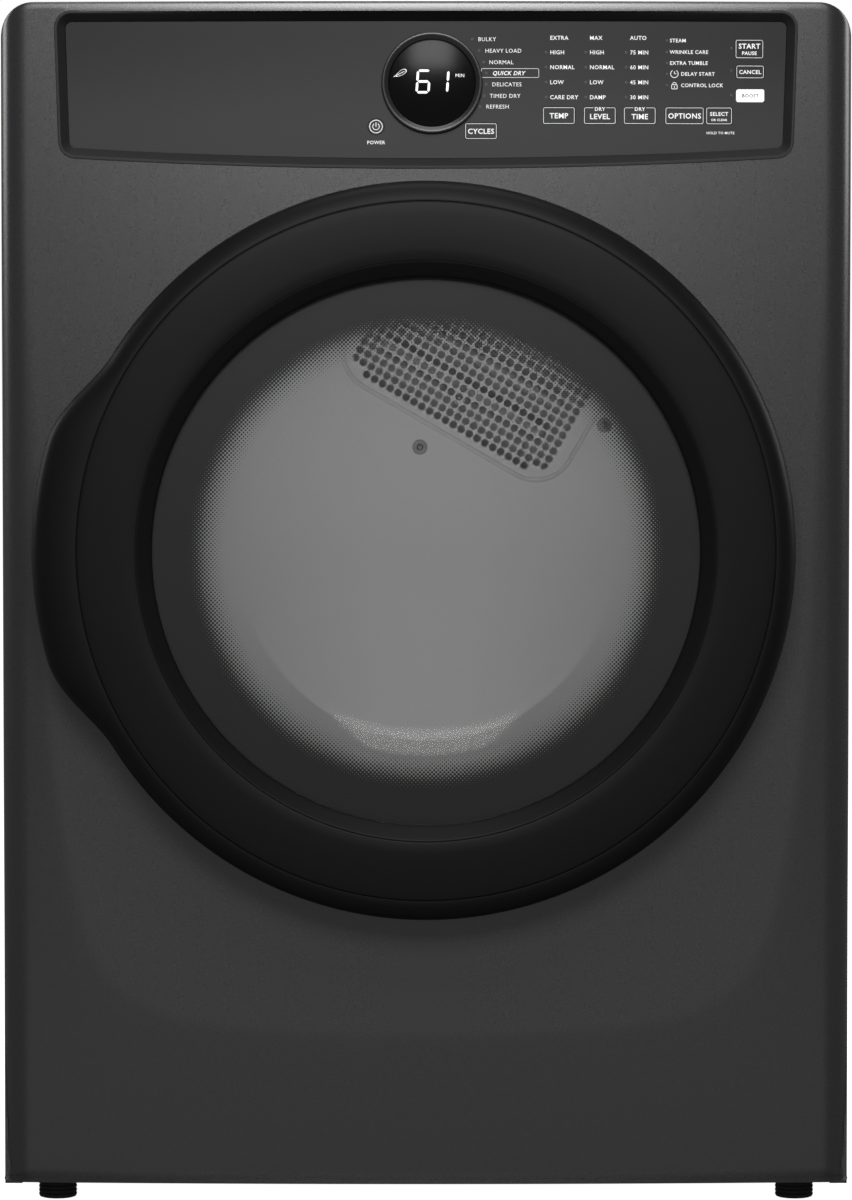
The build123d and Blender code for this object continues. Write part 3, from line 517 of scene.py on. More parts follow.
def front_panel_piece():
    """The painted front: bowed, with rounded sides and top corners, its soft crease and two openings."""
    columns = front_columns()
    row_pitch, top_fillet = 4 * MM, 2.5 * MM
    rows = int((panel_high - panel_low) / row_pitch)
    console_hole = console_edge(0.0)
    console_hole_low = 830 * MM
    verts, column_count = [], len(columns)
    strips = []
    for x, y in columns:
        over = abs(x) - (half_width - top_radius)
        top = panel_high - top_radius + sqrt(max(top_radius**2 - max(over, 0) ** 2, 0))
        strip = [(x, seam_y, panel_low), (x, y + 1.5 * MM, panel_low)]
        for row in range(rows + 1):
            z = panel_low + 1.5 * MM + (top - top_fillet - panel_low - 1.5 * MM) * row / rows
            strip.append((x, min(y + crease_fall(x, z), seam_y), z))
        for angle in (30, 60, 90):
            strip.append((x, min(y + top_fillet * (1 - cos(radians(angle))), seam_y),
                          top - top_fillet * (1 - sin(radians(angle)))))
        strip.append((x, seam_y, top))
        strips.append(strip)
    for row in range(len(strips[0])):
        verts += [strip[row] for strip in strips]
    rim = [(opening_radius * cos(2 * pi * s / 256), door_z + opening_radius * sin(2 * pi * s / 256))
           for s in range(256)]
    kept, cut_away, beside = [], set(), set()
    for face in grid_faces(len(strips[0]), column_count):
        x, y, z = (sum(verts[i][k] for i in face) / len(face) for k in range(3))
        in_door = hypot(x, z - door_z) < opening_radius
        in_console = z > console_hole_low and inside(console_hole, x, z)
        if y < seam_y - 10 * MM and (in_door or in_console):
            cut_away.update(face)
        else:
            kept.append(face)
            beside.update(face)
    for index in cut_away & beside:
        x, y, z = verts[index]
        spot = nearest_on(rim if z < console_hole_low else console_hole, x, z)
        verts[index] = (spot.x, bow_y(spot.x), spot.y)
    piece = new_piece("front_shell", verts, kept, "cabinet", paint)
    thick = piece.modifiers.new("sheet", "SOLIDIFY")
    thick.thickness = 1.2 * MM
    thick.offset = -1
    holder = piece.evaluated_get(bpy.context.evaluated_depsgraph_get())
    solid = bpy.data.meshes.new_from_object(holder)
    piece.modifiers.clear()
    piece.data = solid
    shade(solid, 40)
    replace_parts(piece, "front_panel")


front_panel_piece()

# ------------------------------------------------------------------ door ring with its grip

grip_radius = -ring_low.x
grip_back = -365 * MM
grip_floor = 256 * MM  # radius of the finger pocket's floor
swell_ends = 16.0, 32.0  # degrees from the left between which the grip falls to the round ring
pocket_ends = 16.2, 17.4
hinge_ends = 12.1, 12.9  # degrees from the right where the recess over the hinge ends
hinge_reach = 300 * MM
seat_y = -381.5 * MM
liner_y = -348 * MM
hinge_y = -361 * MM
rim_radius = 290.4 * MM
groove_radius = 277.4 * MM

# (radius, y) from the glass over the inner lip and the face to the outer groove (mm)
ring_face = (
    (217.6, -381.5), (217.6, -390.2), (218.2, -391.3), (219.4, -392.1), (227.5, -398.5),
    (228.6, -399.15), (229.2, -399.4), (229.45, -398.7), (230.0, -398.7), (230.3, -399.55),
    (231.2, -399.8), (240.0, -400.0), (254.0, -399.7), (268.0, -398.8), (274.5, -398.2),
    (276.0, -397.9), (276.35, -396.8), (277.0, -396.6), (277.4, -397.6), (278.3, -397.7),
)
# the outer band's fall: share of its width, y (mm)
band_fall = ((0.25, -396.8), (0.5, -395.0), (0.7, -392.6), (0.85, -389.6), (0.95, -386.0), (1.0, -381.5))


def door_section(angle):
    """(radius, y) points of the door ring's section at an angle from the right, in metres."""
    from_right = abs((degrees(angle) + 180) % 360 - 180)
    from_left = 180 - from_right
    outer = door_radius + (grip_radius - door_radius) * (1 - smooth(from_left, *swell_ends))
    pocket = 1 - smooth(from_left, *pocket_ends)
    back = door_back + (grip_back - door_back) * pocket
    floor = outer - 3 * MM + (grip_floor - outer + 3 * MM) * pocket
    hinge = 1 - smooth(from_right, *hinge_ends)
    step_radius = min(floor - 1 * MM, rim_radius)
    step_radius += (min(floor - 1 * MM, hinge_reach) - step_radius) * hinge
    inner_back = liner_y + (hinge_y - liner_y) * hinge
    band = outer - groove_radius
    section = scaled(ring_face)
    section += [(groove_radius + band * share, y * MM) for share, y in band_fall]
    section += [
        (outer, back - 1.5 * MM), (outer - 0.5 * MM, back - 0.4 * MM), (outer - 1.5 * MM, back),
        (floor + 0.5 * MM, back), (floor, back), (floor - 0.1 * MM, door_back),
        (step_radius, door_back), (step_radius, inner_back), (232.0 * MM, inner_back),
        (231.9 * MM, liner_y), (227.1 * MM, liner_y), (224.0 * MM, liner_y), (224.0 * MM, seat_y),
    ]
    return section


def door_ring_piece():
    """The black door ring: two grooves, a bevel to the glass, and a grip blended into its left."""
    segments = 360
    sections = [door_section(2 * pi * step / segments) for step in range(segments)]
    verts = []
    for index in range(len(sections[0])):
        for step, section in enumerate(sections):
            radius, y = section[index]
            angle = 2 * pi * step / segments
            verts.append((radius * cos(angle), y, door_z + radius * sin(angle)))
    faces = closed_faces(len(sections[0]), segments)
    piece = new_piece("door_ring", verts, faces, "door", door_black, 35)
    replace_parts(piece, "door_frame")


door_ring_piece()

# ------------------------------------------------------------------ door glass

window_radius = 223.4 * MM
window_back, window_front = -382.2 * MM, -385.8 * MM
print_front, print_back = -381.9 * MM, -381.7 * MM
print_inner = 150 * MM
dots_inner, dots_outer = 158 * MM, 192 * MM  # the dots grow between these radii
dot_pitch, dot_radius = 2.3 * MM, 0.74  # radius of a full dot over the pitch


def window_piece():
    """The flat outer window."""
    profile = [(axis_gap, window_back), (window_radius, window_back), (window_radius, window_front),
               (axis_gap, window_front)]
    verts, faces = lathe(profile, (0, door_z))
    piece = new_piece("door_window_glass", verts, faces, "door", window_clear)
    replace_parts(piece, "door_window")


def frit_material():
    """Black enamel print: solid at the rim, then a lattice of dots that shrink towards the middle."""
    made = material("frit_print", grey(0.006), 0.35)
    split = node(made, "ShaderNodeSeparateXYZ")
    link(made, place(made), split.inputs["Vector"])

    def maths(operation, *values):
        """The output of a maths node fed with numbers and sockets."""
        step = node(made, "ShaderNodeMath", operation=operation)
        for socket, value in zip(step.inputs, values):
            if isinstance(value, (int, float)):
                socket.default_value = value
            else:
                link(made, value, socket)
        return step.outputs[0]

    x = split.outputs["X"]
    z = maths("SUBTRACT", split.outputs["Z"], door_z)
    radius = maths("SQRT", maths("ADD", maths("MULTIPLY", x, x), maths("MULTIPLY", z, z)))
    diagonal = cos(pi / 4) / dot_pitch
    across = maths("MULTIPLY", maths("ADD", x, z), diagonal)
    along = maths("MULTIPLY", maths("SUBTRACT", x, z), diagonal)
    u = maths("SUBTRACT", maths("FRACT", across), 0.5)
    v = maths("SUBTRACT", maths("FRACT", along), 0.5)
    from_dot = maths("SQRT", maths("ADD", maths("MULTIPLY", u, u), maths("MULTIPLY", v, v)))
    ink = maths("LESS_THAN", from_dot, spread(made, radius, 0.0, dot_radius, dots_inner, dots_outer))
    link(made, ink, made.node_tree.nodes["Principled BSDF"].inputs["Alpha"])
    return made


def frit_piece():
    """The printed border on the back of the window."""
    profile = [(print_inner, print_front), (window_radius, print_front), (window_radius, print_back),
               (print_inner, print_back)]
    verts, faces = lathe(profile, (0, door_z), 256)
    new_piece("window_frit", verts, faces, "door", frit_material())


def dome(radii, peak):
    """(radius, y) points in mm on the bowl's gently domed end, whose middle lies at peak."""
    crown = 900
    return [(r, peak - crown + sqrt(crown**2 - r**2)) for r in radii]


def bowl_piece():
    """The inner glass bowl that reaches into the drum's mouth."""
    profile = dome((0.1, 30, 60, 90, 120, 145), -285)
    profile += [(160, -299.5), (172, -303.1), (182, -308.2), (188, -313.8), (192, -320.5), (200, -341),
                (221.5, -341), (221.5, -344.6), (196.5, -344.6), (187.5, -322.5), (184, -316.5),
                (178, -311.5), (170, -307.4), (159, -304)]
    profile += dome((140, 105, 70, 35, 0.1), -289.5)
    verts, faces = lathe(scaled(profile), (0, door_z))
    piece = new_piece("door_bowl_glass", verts, faces, "door", bowl_clear)
    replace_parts(piece, "door_bowl")


window_piece()
frit_piece()
bowl_piece()

# ------------------------------------------------------------------ console

console_depth = 7 * MM
print_lift = 0.05 * MM


def bezel_piece():
    """The console's frame: a thin lip over the panel's cut edge, then a chamfer down to the face."""
    # (growth of the outline, depth behind the bowed front) in mm
    steps = (
        (0.9, 6.0), (0.9, -0.2), (0.5, -0.45), (-0.3, -0.5), (-1.2, -0.45), (-1.9, 0.1), (-2.4, 0.9),
        (-7.0, 6.0), (-7.6, 6.9), (-7.7, 7.6), (-7.7, 12.0),
    )
    verts = []
    for grow, inset in steps:
        outline = console_edge(grow * MM, 12)
        verts += [(x, bow_y(x, inset * MM), z) for x, z in outline]
    faces = closed_faces(len(steps), len(outline))
    piece = new_piece("console_frame", verts, faces, "cabinet", bezel_black, 25)
    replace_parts(piece, "console_bezel")


bezel_piece()


def dial_piece(name, replaced, made, profile):
    """A turned part of the round display, from its (radius, y) profile in mm."""
    verts, faces = lathe(scaled(profile), (display_x, display_z), 128)
    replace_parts(new_piece(name, verts, faces, "cabinet", made, 30), replaced)


dial_ring = (
    (34.95, -322.5), (34.95, -329.6), (35.3, -330.1), (36.2, -330.4), (37.6, -331.0), (39.0, -331.3),
    (40.0, -331.1), (40.5, -330.5), (40.6, -329.8), (40.6, -322.5),
)
dial_lens = (
    (0.1, -322.5), (34.8, -322.5), (34.8, -329.2), (34.5, -329.7), (33.6, -330.0), (0.1, -330.1),
)
dial_piece("dial_ring", "display_ring", trim_black, dial_ring)
dial_piece("dial_lens", "display_lens", lens_black, dial_lens)


class Print:
    """Collects flat printed shapes that lie on the console's bowed face, then makes one piece of them."""

    def __init__(self, inset=console_depth, thick=0.06 * MM):
        self.verts, self.faces, self.inset, self.thick = [], [], inset, thick

    def point(self, x, z, back=0.0):
        """A vertex on the face at (x, z), or a little behind it."""
        self.verts.append((x, bow_y(x, self.inset) - print_lift - self.thick + back, z))
        return len(self.verts) - 1

    def polygon(self, outline):
        """A filled shape with a closed outline of (x, z) points."""
        front = [self.point(x, z) for x, z in outline]
        back = [self.point(x, z, self.thick) for x, z in outline]
        count = len(outline)
        self.faces += [tuple(front), tuple(reversed(back))]
        for i in range(count):
            j = (i + 1) % count
            self.faces.append((front[i], back[i], back[j], front[j]))

    def line(self, outer, inner, closed=True):
        """A band between two outlines that hold the same number of points."""
        corners = ((outer, 0.0), (inner, 0.0), (inner, self.thick), (outer, self.thick))
        rows = [[self.point(x, z, back) for x, z in outline] for outline, back in corners]
        count = len(outer)
        for i in range(count if closed else count - 1):
            j = (i + 1) % count
            for one, two in ((0, 1), (1, 2), (2, 3), (3, 0)):
                self.faces.append((rows[one][i], rows[one][j], rows[two][j], rows[two][i]))
        if not closed:
            self.faces += [tuple(row[end] for row in rows) for end in (0, -1)]

    def box(self, x, z, wide, high, corner, width=0.35 * MM):
        """The outline of a rounded rectangle about (x, z)."""
        outer = rounded_box(x, z, wide, high, corner)
        self.line(outer, rounded_box(x, z, wide - 2 * width, high - 2 * width, corner - width))

    def circle(self, x, z, radius, width, start=0, sweep=360, steps=28):
        """A ring or an arc about (x, z), from a start angle round through a sweep in degrees."""
        count = steps if sweep == 360 else steps + 1
        turns = [radians(start + sweep * i / steps) for i in range(count)]
        outer, inner = (
            [(x + reach * cos(a), z + reach * sin(a)) for a in turns] for reach in (radius, radius - width)
        )
        self.line(outer, inner, sweep == 360)

    def stroke(self, x1, z1, x2, z2, width):
        """A straight bar between two points."""
        side = (Vector((x2, z2)) - Vector((x1, z1))).normalized() * width / 2
        self.polygon([(x1 - side.y, z1 + side.x), (x2 - side.y, z2 + side.x),
                      (x2 + side.y, z2 - side.x), (x1 + side.y, z1 - side.x)])

    def text(self, words, x, z, high, align="LEFT", weight=0.018, slant=0.0):
        """Lettering whose capitals are high tall, centred upright on z."""
        curve = bpy.data.curves.new("words", "FONT")
        curve.body = words
        curve.size = high / cap_share
        curve.align_x = align
        curve.resolution_u = 2
        curve.shear = slant
        curve.space_character = 1.08
        curve.offset = weight * high
        curve.extrude = self.thick / 2
        holder = bpy.data.objects.new("words", curve)
        scene.collection.objects.link(holder)
        shaped = holder.evaluated_get(bpy.context.evaluated_depsgraph_get())
        shape = bpy.data.meshes.new_from_object(shaped)
        base = len(self.verts)
        for vertex in shape.vertices:
            u, v, w = vertex.co
            across = x + u
            front = bow_y(across, self.inset) - print_lift - self.thick / 2 - w
            self.verts.append((across, front, z + v - high / 2))
        self.faces += [tuple(base + index for index in face.vertices) for face in shape.polygons]
        bpy.data.objects.remove(holder)
        bpy.data.curves.remove(curve)
        bpy.data.meshes.remove(shape)

    def piece(self, name, body, slot, made):
        """Makes the collected shapes into one piece."""
        return new_piece(name, self.verts, self.faces, body, made)


def rounded_box(x, z, wide, high, corner):
    """A rounded rectangle's outline about (x, z)."""
    w, h = wide / 2, high / 2
    return rounded([(x - w, z + h), (x + w, z + h), (x + w, z - h), (x - w, z - h)], [corner] * 4, 4)


cap_share = 0.727  # height of a capital over the font's size
small = 3.3 * MM
led_radius = 0.95 * MM

# programme names on an arc to the right of the dial: words, x, z, and x of the lamp beside them
programmes = (
    ("BULKY", 41.7, 941.9, 37.1), ("HEAVY LOAD", 47.3, 932.7, 42.6), ("NORMAL", 50.5, 923.5, 46.2),
    ("QUICK DRY", 52.6, 914.8, 48.4), ("DELICATES", 52.9, 905.8, 48.2), ("TIMED DRY", 51.1, 896.6, 46.6),
    ("REFRESH", 48.1, 888.0, 43.3),
)
# three columns of levels: x, the row at the top without a lamp, then four rows with lamps
levels = (
    (99.4, ("EXTRA", "HIGH", "NORMAL", "LOW", "CARE DRY")),
    (131.3, ("MAX", "HIGH", "NORMAL", "LOW", "DAMP")),
    (163.7, ("AUTO", "75 MIN", "60 MIN", "45 MIN", "30 MIN")),
)
level_rows = (943.1, 931.5, 919.6, 907.6, 895.6)
options = (("STEAM", 941.1), ("WRINKLE CARE", 931.9), ("EXTRA TUMBLE", 923.1), ("DELAY START", 914.4),
           ("CONTROL LOCK", 905.3))
option_x = 195.6

words, lamps, signs = Print(), Print(), Print()
for title, x, z, lamp in programmes:
    quick = title == "QUICK DRY"
    words.text(title, (x + 0.6 * quick) * MM, z * MM, small, weight=0.03 * quick, slant=0.25 * quick)
    lamps.circle(lamp * MM, z * MM, led_radius, 0.28 * MM, steps=16)
words.box(67.4 * MM, 914.8 * MM, 46.4 * MM, 7.4 * MM, 1.2 * MM, 0.3 * MM)
for x, titles in levels:
    for row, title in enumerate(titles):
        words.text(title, x * MM, level_rows[row] * MM, small)
        if row:
            lamps.circle((x - 3.1) * MM, level_rows[row] * MM, led_radius, 0.28 * MM, steps=16)
for row, (title, z) in enumerate(options):
    indent = 9.0 if row > 2 else 0.0
    words.text(title, (option_x + indent) * MM, z * MM, 3.0 * MM)
    lamps.circle((option_x - 2.2) * MM, z * MM, 0.8 * led_radius, 0.25 * MM, steps=14)
words.text("HOLD TO MUTE", 247.8 * MM, 867.2 * MM, 2.1 * MM, "RIGHT")
words.text("POWER", -40.1 * MM, 859.3 * MM, 2.9 * MM, "CENTER", 0.02)
for z in (935.1, 917.2, 897.6):
    lamps.circle(245.2 * MM, z * MM, 0.8 * led_radius, 0.3 * MM, steps=14)

# clock and padlock beside the last two options
clock_x, clock_z, lock_z = 199.4 * MM, 914.4 * MM, 905.0 * MM
signs.circle(clock_x, clock_z, 3.3 * MM, 0.55 * MM, 120, 300)
signs.stroke(clock_x, clock_z, clock_x, clock_z + 2 * MM, 0.5 * MM)
signs.stroke(clock_x, clock_z, clock_x + 1.6 * MM, clock_z, 0.5 * MM)
signs.box(clock_x, lock_z - 1.0 * MM, 5.0 * MM, 3.8 * MM, 0.7 * MM, 0.5 * MM)
signs.circle(clock_x, lock_z + 1.0 * MM, 1.7 * MM, 0.5 * MM, 0, 180)
signs.stroke(clock_x, lock_z - 1.7 * MM, clock_x, lock_z - 0.4 * MM, 0.6 * MM)

words.piece("console_legends", "cabinet", "key_light", print_white_painted_glow)
lamps.piece("console_lamps", "cabinet", "key_light", print_grey)
signs.piece("console_signs", "cabinet", "key_light", print_white_painted_glow)

# display contents: a leaf, two seven-segment digits and the unit, lit from behind
digit_wide, digit_high, stroke_wide, digit_slant = 11.6 * MM, 19.4 * MM, 2.1 * MM, 0.07
segments = {
    "top": (0, 1, 1, 1), "middle": (0, 0.5, 1, 0.5), "bottom": (0, 0, 1, 0),
    "upper_left": (0, 0.5, 0, 1), "lower_left": (0, 0, 0, 0.5),
    "upper_right": (1, 0.5, 1, 1), "lower_right": (1, 0, 1, 0.5),
}
six = ("top", "middle", "bottom", "upper_left", "lower_left", "lower_right")
one = ("upper_right", "lower_right")
lit = Print(inset=4.9 * MM)


def show_digit(left, low, names):
    """Draws the named segments of one digit as bars with pointed ends."""
    wide, high = digit_wide - stroke_wide, digit_high - stroke_wide
    half = stroke_wide / 2
    for name in names:
        u1, v1, u2, v2 = segments[name]
        ends = [Vector((left + half + wide * u + digit_slant * high * v, low + half + high * v))
                for u, v in ((u1, v1), (u2, v2))]
        along = (ends[1] - ends[0]).normalized()
        side = Vector((-along.y, along.x)) * half * 0.92
        start, finish = ends[0] + along * 0.35 * MM, ends[1] - along * 0.35 * MM
        tip = along * half
        corners = [start, start + tip + side, finish - tip + side,
                   finish, finish - tip - side, start + tip - side]
        lit.polygon([(c.x, c.y) for c in corners])


digit_low = 898.2 * MM
show_digit(-8.6 * MM, digit_low, six)
show_digit(6.3 * MM, digit_low, one)
lit.text("MIN", 23.4 * MM, 912.8 * MM, 2.9 * MM, weight=0)
leaf_x, leaf_z, leaf_size = -20.0 * MM, 914.8 * MM, 4.4 * MM


def leaf_outline(scale):
    """A leaf's closed outline, scaled about its middle."""
    turns = [2 * pi * i / 28 for i in range(28)]
    return [(leaf_x + scale * leaf_size * cos(t) * (1 - 0.25 * sin(t)),
             leaf_z + scale * leaf_size * (0.5 * sin(t) + 0.5 * cos(t))) for t in turns]


lit.line(leaf_outline(1.0), leaf_outline(0.86))
lit.stroke(leaf_x - 6.0 * MM, leaf_z - 3.2 * MM, leaf_x + 2.8 * MM, leaf_z + 1.2 * MM, 0.4 * MM)
lit.piece("display_figures", "cabinet", "key_light", lit_white)

# legends on the keys: each rides on its own key
key_words = {
    "key_cycles": (("CYCLES", 0, 0, 4.2),),
    "key_temp": (("TEMP", 0, 0, 4.3),),
    "key_dry_level": (("DRY", 0, 5.4, 3.0), ("LEVEL", 0, -0.6, 4.3)),
    "key_dry_time": (("DRY", 0, 5.4, 3.0), ("TIME", 0, -0.6, 4.3)),
    "key_options": (("OPTIONS", 0, 0, 4.3),),
    "key_select": (("SELECT", 0, 1.6, 3.1), ("OR CLEAR", 0, -3.2, 1.9)),
    "key_start_pause": (("START", 0, 2.4, 4.1), ("PAUSE", 0, -3.3, 2.9)),
    "key_cancel": (("CANCEL", 0, 0, 3.2),),
}
key_inset = 6.8 * MM
key_line, key_corner, key_margin = 0.35 * MM, 1.4 * MM, 0.3 * MM
open_half = 5.2 * MM


def open_box(legend, x, z, wide, high):
    """The outline of a rounded rectangle whose top edge is open about its middle."""
    outer = rounded_box(x, z, wide, high, key_corner)
    inner = rounded_box(x, z, wide - 2 * key_line, high - 2 * key_line, key_corner - key_line)
    upper_right = [i for i, (px, pz) in enumerate(outer) if pz > z and px > x]
    first = min(upper_right, key=lambda i: outer[i][0])
    order = [(first + i) % len(outer) for i in range(len(outer))]
    top = z + high / 2
    legend.line([(x + open_half, top)] + [outer[i] for i in order] + [(x - open_half, top)],
                [(x + open_half, top - key_line)] + [inner[i] for i in order]
                + [(x - open_half, top - key_line)], closed=False)


for name, lines in key_words.items():
    low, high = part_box(name)
    x, z = middle_of(name)
    wide, tall = high.x - low.x - 2 * key_margin, high.z - low.z - 2 * key_margin
    legend = Print(inset=key_inset)
    for text, right, up, size in lines:
        legend.text(text, x + right * MM, z + up * MM, size * MM, "CENTER", 0.03)
    if name in ("key_dry_level", "key_dry_time"):
        open_box(legend, x, z, wide, tall)
    else:
        legend.box(x, z, wide, tall, key_corner)
    legend.piece(name + "_legend", name, "key_light", print_white_painted_glow)

boost = Print(inset=key_inset)
boost.text("BOOST", *middle_of("key_boost"), 2.9 * MM, "CENTER")
boost.piece("key_boost_legend", "key_boost", "key_plastic", trim_black)

power_x, power_z = middle_of("key_power")
power = Print(inset=key_inset)
power.circle(power_x, power_z, 5.4 * MM, 0.6 * MM, steps=48)
power.circle(power_x, power_z, 2.9 * MM, 0.55 * MM, 125, 290)
power.stroke(power_x, power_z - 0.2 * MM, power_x, power_z + 3.4 * MM, 0.6 * MM)
power.piece("key_power_legend", "key_power", "key_light", print_white_painted_glow)

# ------------------------------------------------------------------ screws


def hex_screws(name, places, facing, size, body, made):
    """Washer-head screws in one piece: each stands at a point on a face that looks along facing."""
    verts, faces = [], []
    axis = Vector(facing).normalized()
    side = axis.orthogonal().normalized()
    up = axis.cross(side)
    # (radius over size, height over size, sides) from the washer's rim up to the recessed top
    rings = ((1.35, 0.0, 24), (1.35, 0.12, 24), (1.25, 0.2, 24), (0.92, 0.2, 24), (0.92, 0.24, 6),
             (0.92, 0.78, 6), (0.8, 0.9, 6), (0.45, 0.9, 6), (0.35, 0.72, 6))
    for place_at in places:
        base = Vector(place_at)
        start = len(verts)
        for share, lift, sides in rings:
            for step in range(24):
                angle = 2 * pi * step / 24
                reach = share * size
                if sides == 6:
                    reach *= cos(pi / 6) / cos((angle + pi / 6) % (pi / 3) - pi / 6)
                outward = side * reach * cos(angle) + up * reach * sin(angle)
                verts.append(tuple(base + axis * lift * size + outward))
        faces += [tuple(start + i for i in face) for face in grid_faces(len(rings), 24, wrap=True)]
        faces.append(tuple(start + i for i in range(24)))
        faces.append(tuple(start + (len(rings) - 1) * 24 + i for i in range(24)))
    return new_piece(name, verts, faces, body, made, 30)


rear_low, rear_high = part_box("rear_panel")
screw_edge, screw_size = 9 * MM, 4 * MM
rear_places = [(x, rear_high.y, z * MM) for x in (rear_low.x + screw_edge, rear_high.x - screw_edge)
               for z in (60, 210, 360, 510, 660, 810, 925)]
rear_places += [(x * MM, rear_high.y, z) for x in (-220, -75, 75, 220)
                for z in (rear_high.z - screw_edge, rear_low.z + screw_edge)]
cover_low, cover_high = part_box("terminal_cover")
cover_place = ((cover_low.x + cover_high.x) / 2, cover_high.y, cover_low.z + 16 * MM)
hex_screws("rear_screws", rear_places, (0, 1, 0), screw_size, "cabinet", steel)
hex_screws("cover_screw", [cover_place], (0, 1, 0), screw_size, "cabinet", steel)

wall_y = 270 * MM  # the drum's fixed rear wall
wall_places = ((-5.6, 611.2), (165, 631.6), (30.6, 656.6))  # x, z (mm)
# (radius, y in front of the wall) of a pan head in its dish (mm)
pan_head = ((0.1, -1.3), (0.7, -1.3), (0.9, -1.7), (1.9, -1.6), (2.6, -1.1), (2.9, -0.4), (3.2, -0.3),
            (6.0, -0.25), (6.8, -0.15), (7.0, -0.02), (7.0, 0.0), (0.1, 0.0))


def wall_screws():
    """Pan-head screws in shallow dishes on the drum's fixed rear wall."""
    profile = [(r * MM, wall_y + y * MM) for r, y in pan_head]
    for index, (x, z) in enumerate(wall_places):
        verts, faces = lathe(profile, (x * MM, z * MM), 40)
        new_piece(f"wall_screw_{index + 1}", verts, faces, "cabinet", wall_screw_steel, 30)


wall_screws()

# ------------------------------------------------------------------ inlet grille's rolled edge

grille_tilt = radians(-30)
grille_half, grille_low_v, grille_arc, grille_corner = 116 * MM, 27 * MM, 190 * MM, 34 * MM


def grille_edge(grow, steps=10):
    """The grille's outline, grown outwards, as (x, z) points."""
    half, low, arc = grille_half + grow, grille_low_v - grow, grille_arc + grow
    corner = grille_corner + grow
    points = []
    for start, centre in ((180, (-half + corner, low + corner)), (270, (half - corner, low + corner))):
        points += [(centre[0] + corner * cos(radians(start + 90 * i / steps)),
                    centre[1] + corner * sin(radians(start + 90 * i / steps))) for i in range(steps + 1)]
    meet = acos(half / arc)
    points += [(arc * cos(meet + (pi - 2 * meet) * i / 40), arc * sin(meet + (pi - 2 * meet) * i / 40))
               for i in range(41)]
    across, rise = cos(grille_tilt), sin(grille_tilt)
    return [(u * across - v * rise, drum_z + u * rise + v * across) for u, v in points]


def grille_bead():
    """The rolled edge round the grille: a small rise, a groove and a soft step down to the wall."""
    # (growth of the outline, y in front of the wall) in mm
    steps = ((-3.4, 0.0), (-3.3, -0.5), (-2.6, -1.0), (-1.6, -1.1), (-0.9, -0.6), (-0.6, -0.15), (0.0, -0.1),
             (0.4, -0.5), (1.2, -0.8), (2.6, -0.6), (4.0, -0.2), (4.4, 0.0))
    verts = []
    for grow, y in steps:
        outline = grille_edge(grow * MM)
        verts += [(x, wall_y + y * MM, z) for x, z in outline]
    faces = closed_faces(len(steps), len(outline))
    new_piece("grille_bead", verts, faces, "cabinet", enamel, 50)


grille_bead()

# ------------------------------------------------------------------ feet


pad_radius, pad_top, pad_ease = 15.5 * MM, 14 * MM, 0.4 * MM
rib_low, rib_pitch, rib_high, rib_deep = 3.4 * MM, 3.2 * MM, 1.4 * MM, 0.7 * MM
stem_radius, thread_pitch, thread_deep = 5 * MM, 1.25 * MM, 0.55 * MM
nut_low, nut_top, nut_radius, nut_bore = 15 * MM, 22 * MM, 11.5 * MM, 4.9 * MM


def pad_profile():
    """(radius, z) of the ribbed rubber pad."""
    profile = [(axis_gap, 0.0), (pad_radius - 2.5 * MM, 0.0), (pad_radius - 2 * pad_ease, 1.5 * pad_ease),
               (pad_radius, 2 * MM)]
    for rib in range(3):
        z = rib_low + rib * rib_pitch
        profile += [(pad_radius, z), (pad_radius - rib_deep, z + pad_ease),
                    (pad_radius - rib_deep, z + rib_high - pad_ease), (pad_radius, z + rib_high)]
    return profile + [(pad_radius, pad_top - 1 * MM), (pad_radius - 1.2 * MM, pad_top), (axis_gap, pad_top)]


def stem_profile(top):
    """(radius, z) of the stem, threaded from the nut up to its top."""
    z = nut_top + 0.2 * MM
    profile = [(stem_radius - 0.5 * MM, pad_top - 0.1 * MM), (stem_radius - 0.5 * MM, z)]
    while z < top - 1.6 * MM:
        profile += [(stem_radius, z + 0.4 * MM), (stem_radius, z + 0.6 * MM),
                    (stem_radius - thread_deep, z + 1.1 * MM)]
        z += thread_pitch
    return profile + [(stem_radius - 1 * MM, top)]


def nut_profile():
    """(radius, z) of the jam nut, with its corners eased."""
    ease_in, ease_up = 1 * MM, 0.8 * MM
    return [(nut_bore, nut_low), (nut_radius - ease_in, nut_low), (nut_radius, nut_low + ease_up),
            (nut_radius, nut_top - ease_up), (nut_radius - ease_in, nut_top), (nut_bore, nut_top)]


def foot_piece(name):
    """A levelling foot: a ribbed rubber pad, a threaded stem and a jam nut."""
    low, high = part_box(name)
    middle = (low.x + high.x) / 2, (low.y + high.y) / 2
    for part, profile, sides, made, smooth_angle in (
        ("_pad", pad_profile(), 64, rubber_black, 30),
        ("_stem", stem_profile(high.z), 32, steel, 30),
        ("_nut", nut_profile(), 6, steel, 20),
    ):
        verts, faces = upright_lathe(profile, middle, sides)
        piece = new_piece(name + part, verts, faces, name, made, smooth_angle)
        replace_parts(piece, name)


for foot in ("foot_front_left", "foot_front_right", "foot_rear_left", "foot_rear_right"):
    foot_piece(foot)

# ------------------------------------------------------------------ floor and light

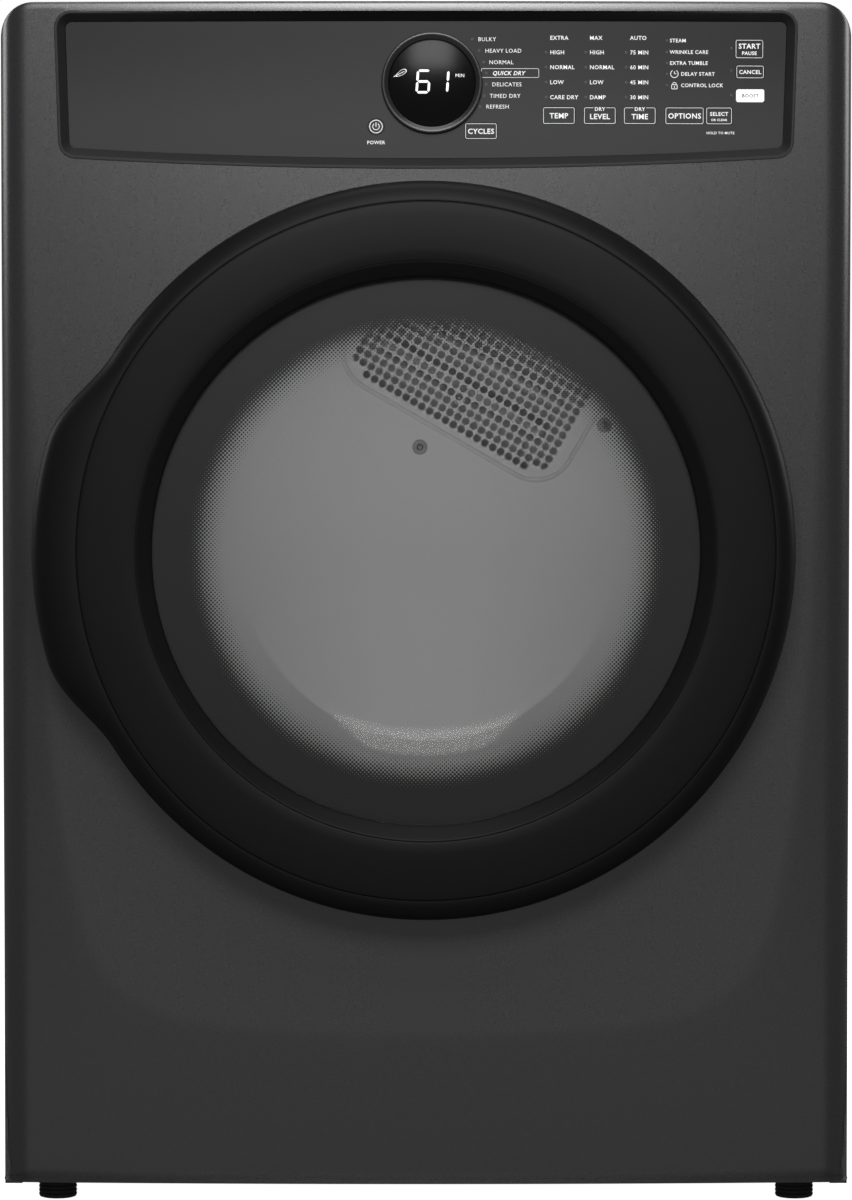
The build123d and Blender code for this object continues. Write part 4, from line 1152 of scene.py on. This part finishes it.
floor_size, floor_drop = 60.0, 0.5 * MM
bpy.ops.mesh.primitive_plane_add(size=floor_size, location=(0, 0, -floor_drop))
floor = bpy.context.object
floor.name = "floor"
floor.data.materials.append(material("floor_pale", (0.5, 0.5, 0.5), 0.9, Emission_Color=(1, 1, 1, 1),
                                     Emission_Strength=1.0))
floor.visible_glossy = False
floor.visible_diffuse = False


def studio_world(seen, given):
    """A plain white backdrop behind the object, and a dimmer even light from all round."""
    world = bpy.data.worlds.new("studio")
    scene.world = world
    world.use_nodes = True
    tree = world.node_tree
    background = tree.nodes["Background"]
    background.inputs["Color"].default_value = (1, 1, 1, 1)
    ray = tree.nodes.new("ShaderNodeLightPath")
    level = tree.nodes.new("ShaderNodeMapRange")
    level.inputs["To Min"].default_value = given
    level.inputs["To Max"].default_value = seen
    tree.links.new(ray.outputs["Is Camera Ray"], level.inputs["Value"])
    tree.links.new(level.outputs["Result"], background.inputs["Strength"])


studio_world(1.0, 0.12)


def area_light(name, power, size, place_at, target):
    """A soft rectangular studio light in watts and metres, which the camera doesn't see."""
    lamp = bpy.data.lights.new(name, "AREA")
    lamp.shape = "RECTANGLE"
    lamp.size, lamp.size_y = size
    lamp.energy = power
    holder = bpy.data.objects.new(name, lamp)
    scene.collection.objects.link(holder)
    aim(holder, place_at, target)
    holder.visible_camera = False


area_light("front_softbox", 16, (1.6, 0.9), (0, -2.0, 2.5), (0, 0, 0.8))
area_light("front_card", 82, (1.5, 1.3), (0, -4.3, 2.35), (0, 0, 0.9))
area_light("floor_glow", 1.0, (1.8, 1.2), (0, -1.5, 0.02), (0, -0.9, 0.5))
area_light("top_softbox", 12, (1.6, 1.2), (0, -0.2, 2.8), (0, 0, 0.9))
area_light("back_softbox", 34, (2.4, 1.6), (0.6, 2.9, 3.1), (0, 0.3, 0.5))
for side in (-1, 1):
    area_light("side_softbox", 22, (1.4, 1.4), (side * 3.0, 0.9, 1.6), (0, 0.2, 0.5))
area_light("drum_glow", 1.4, (0.36, 0.36), (0, -0.24, 0.60), (0, 0.27, 0.60))
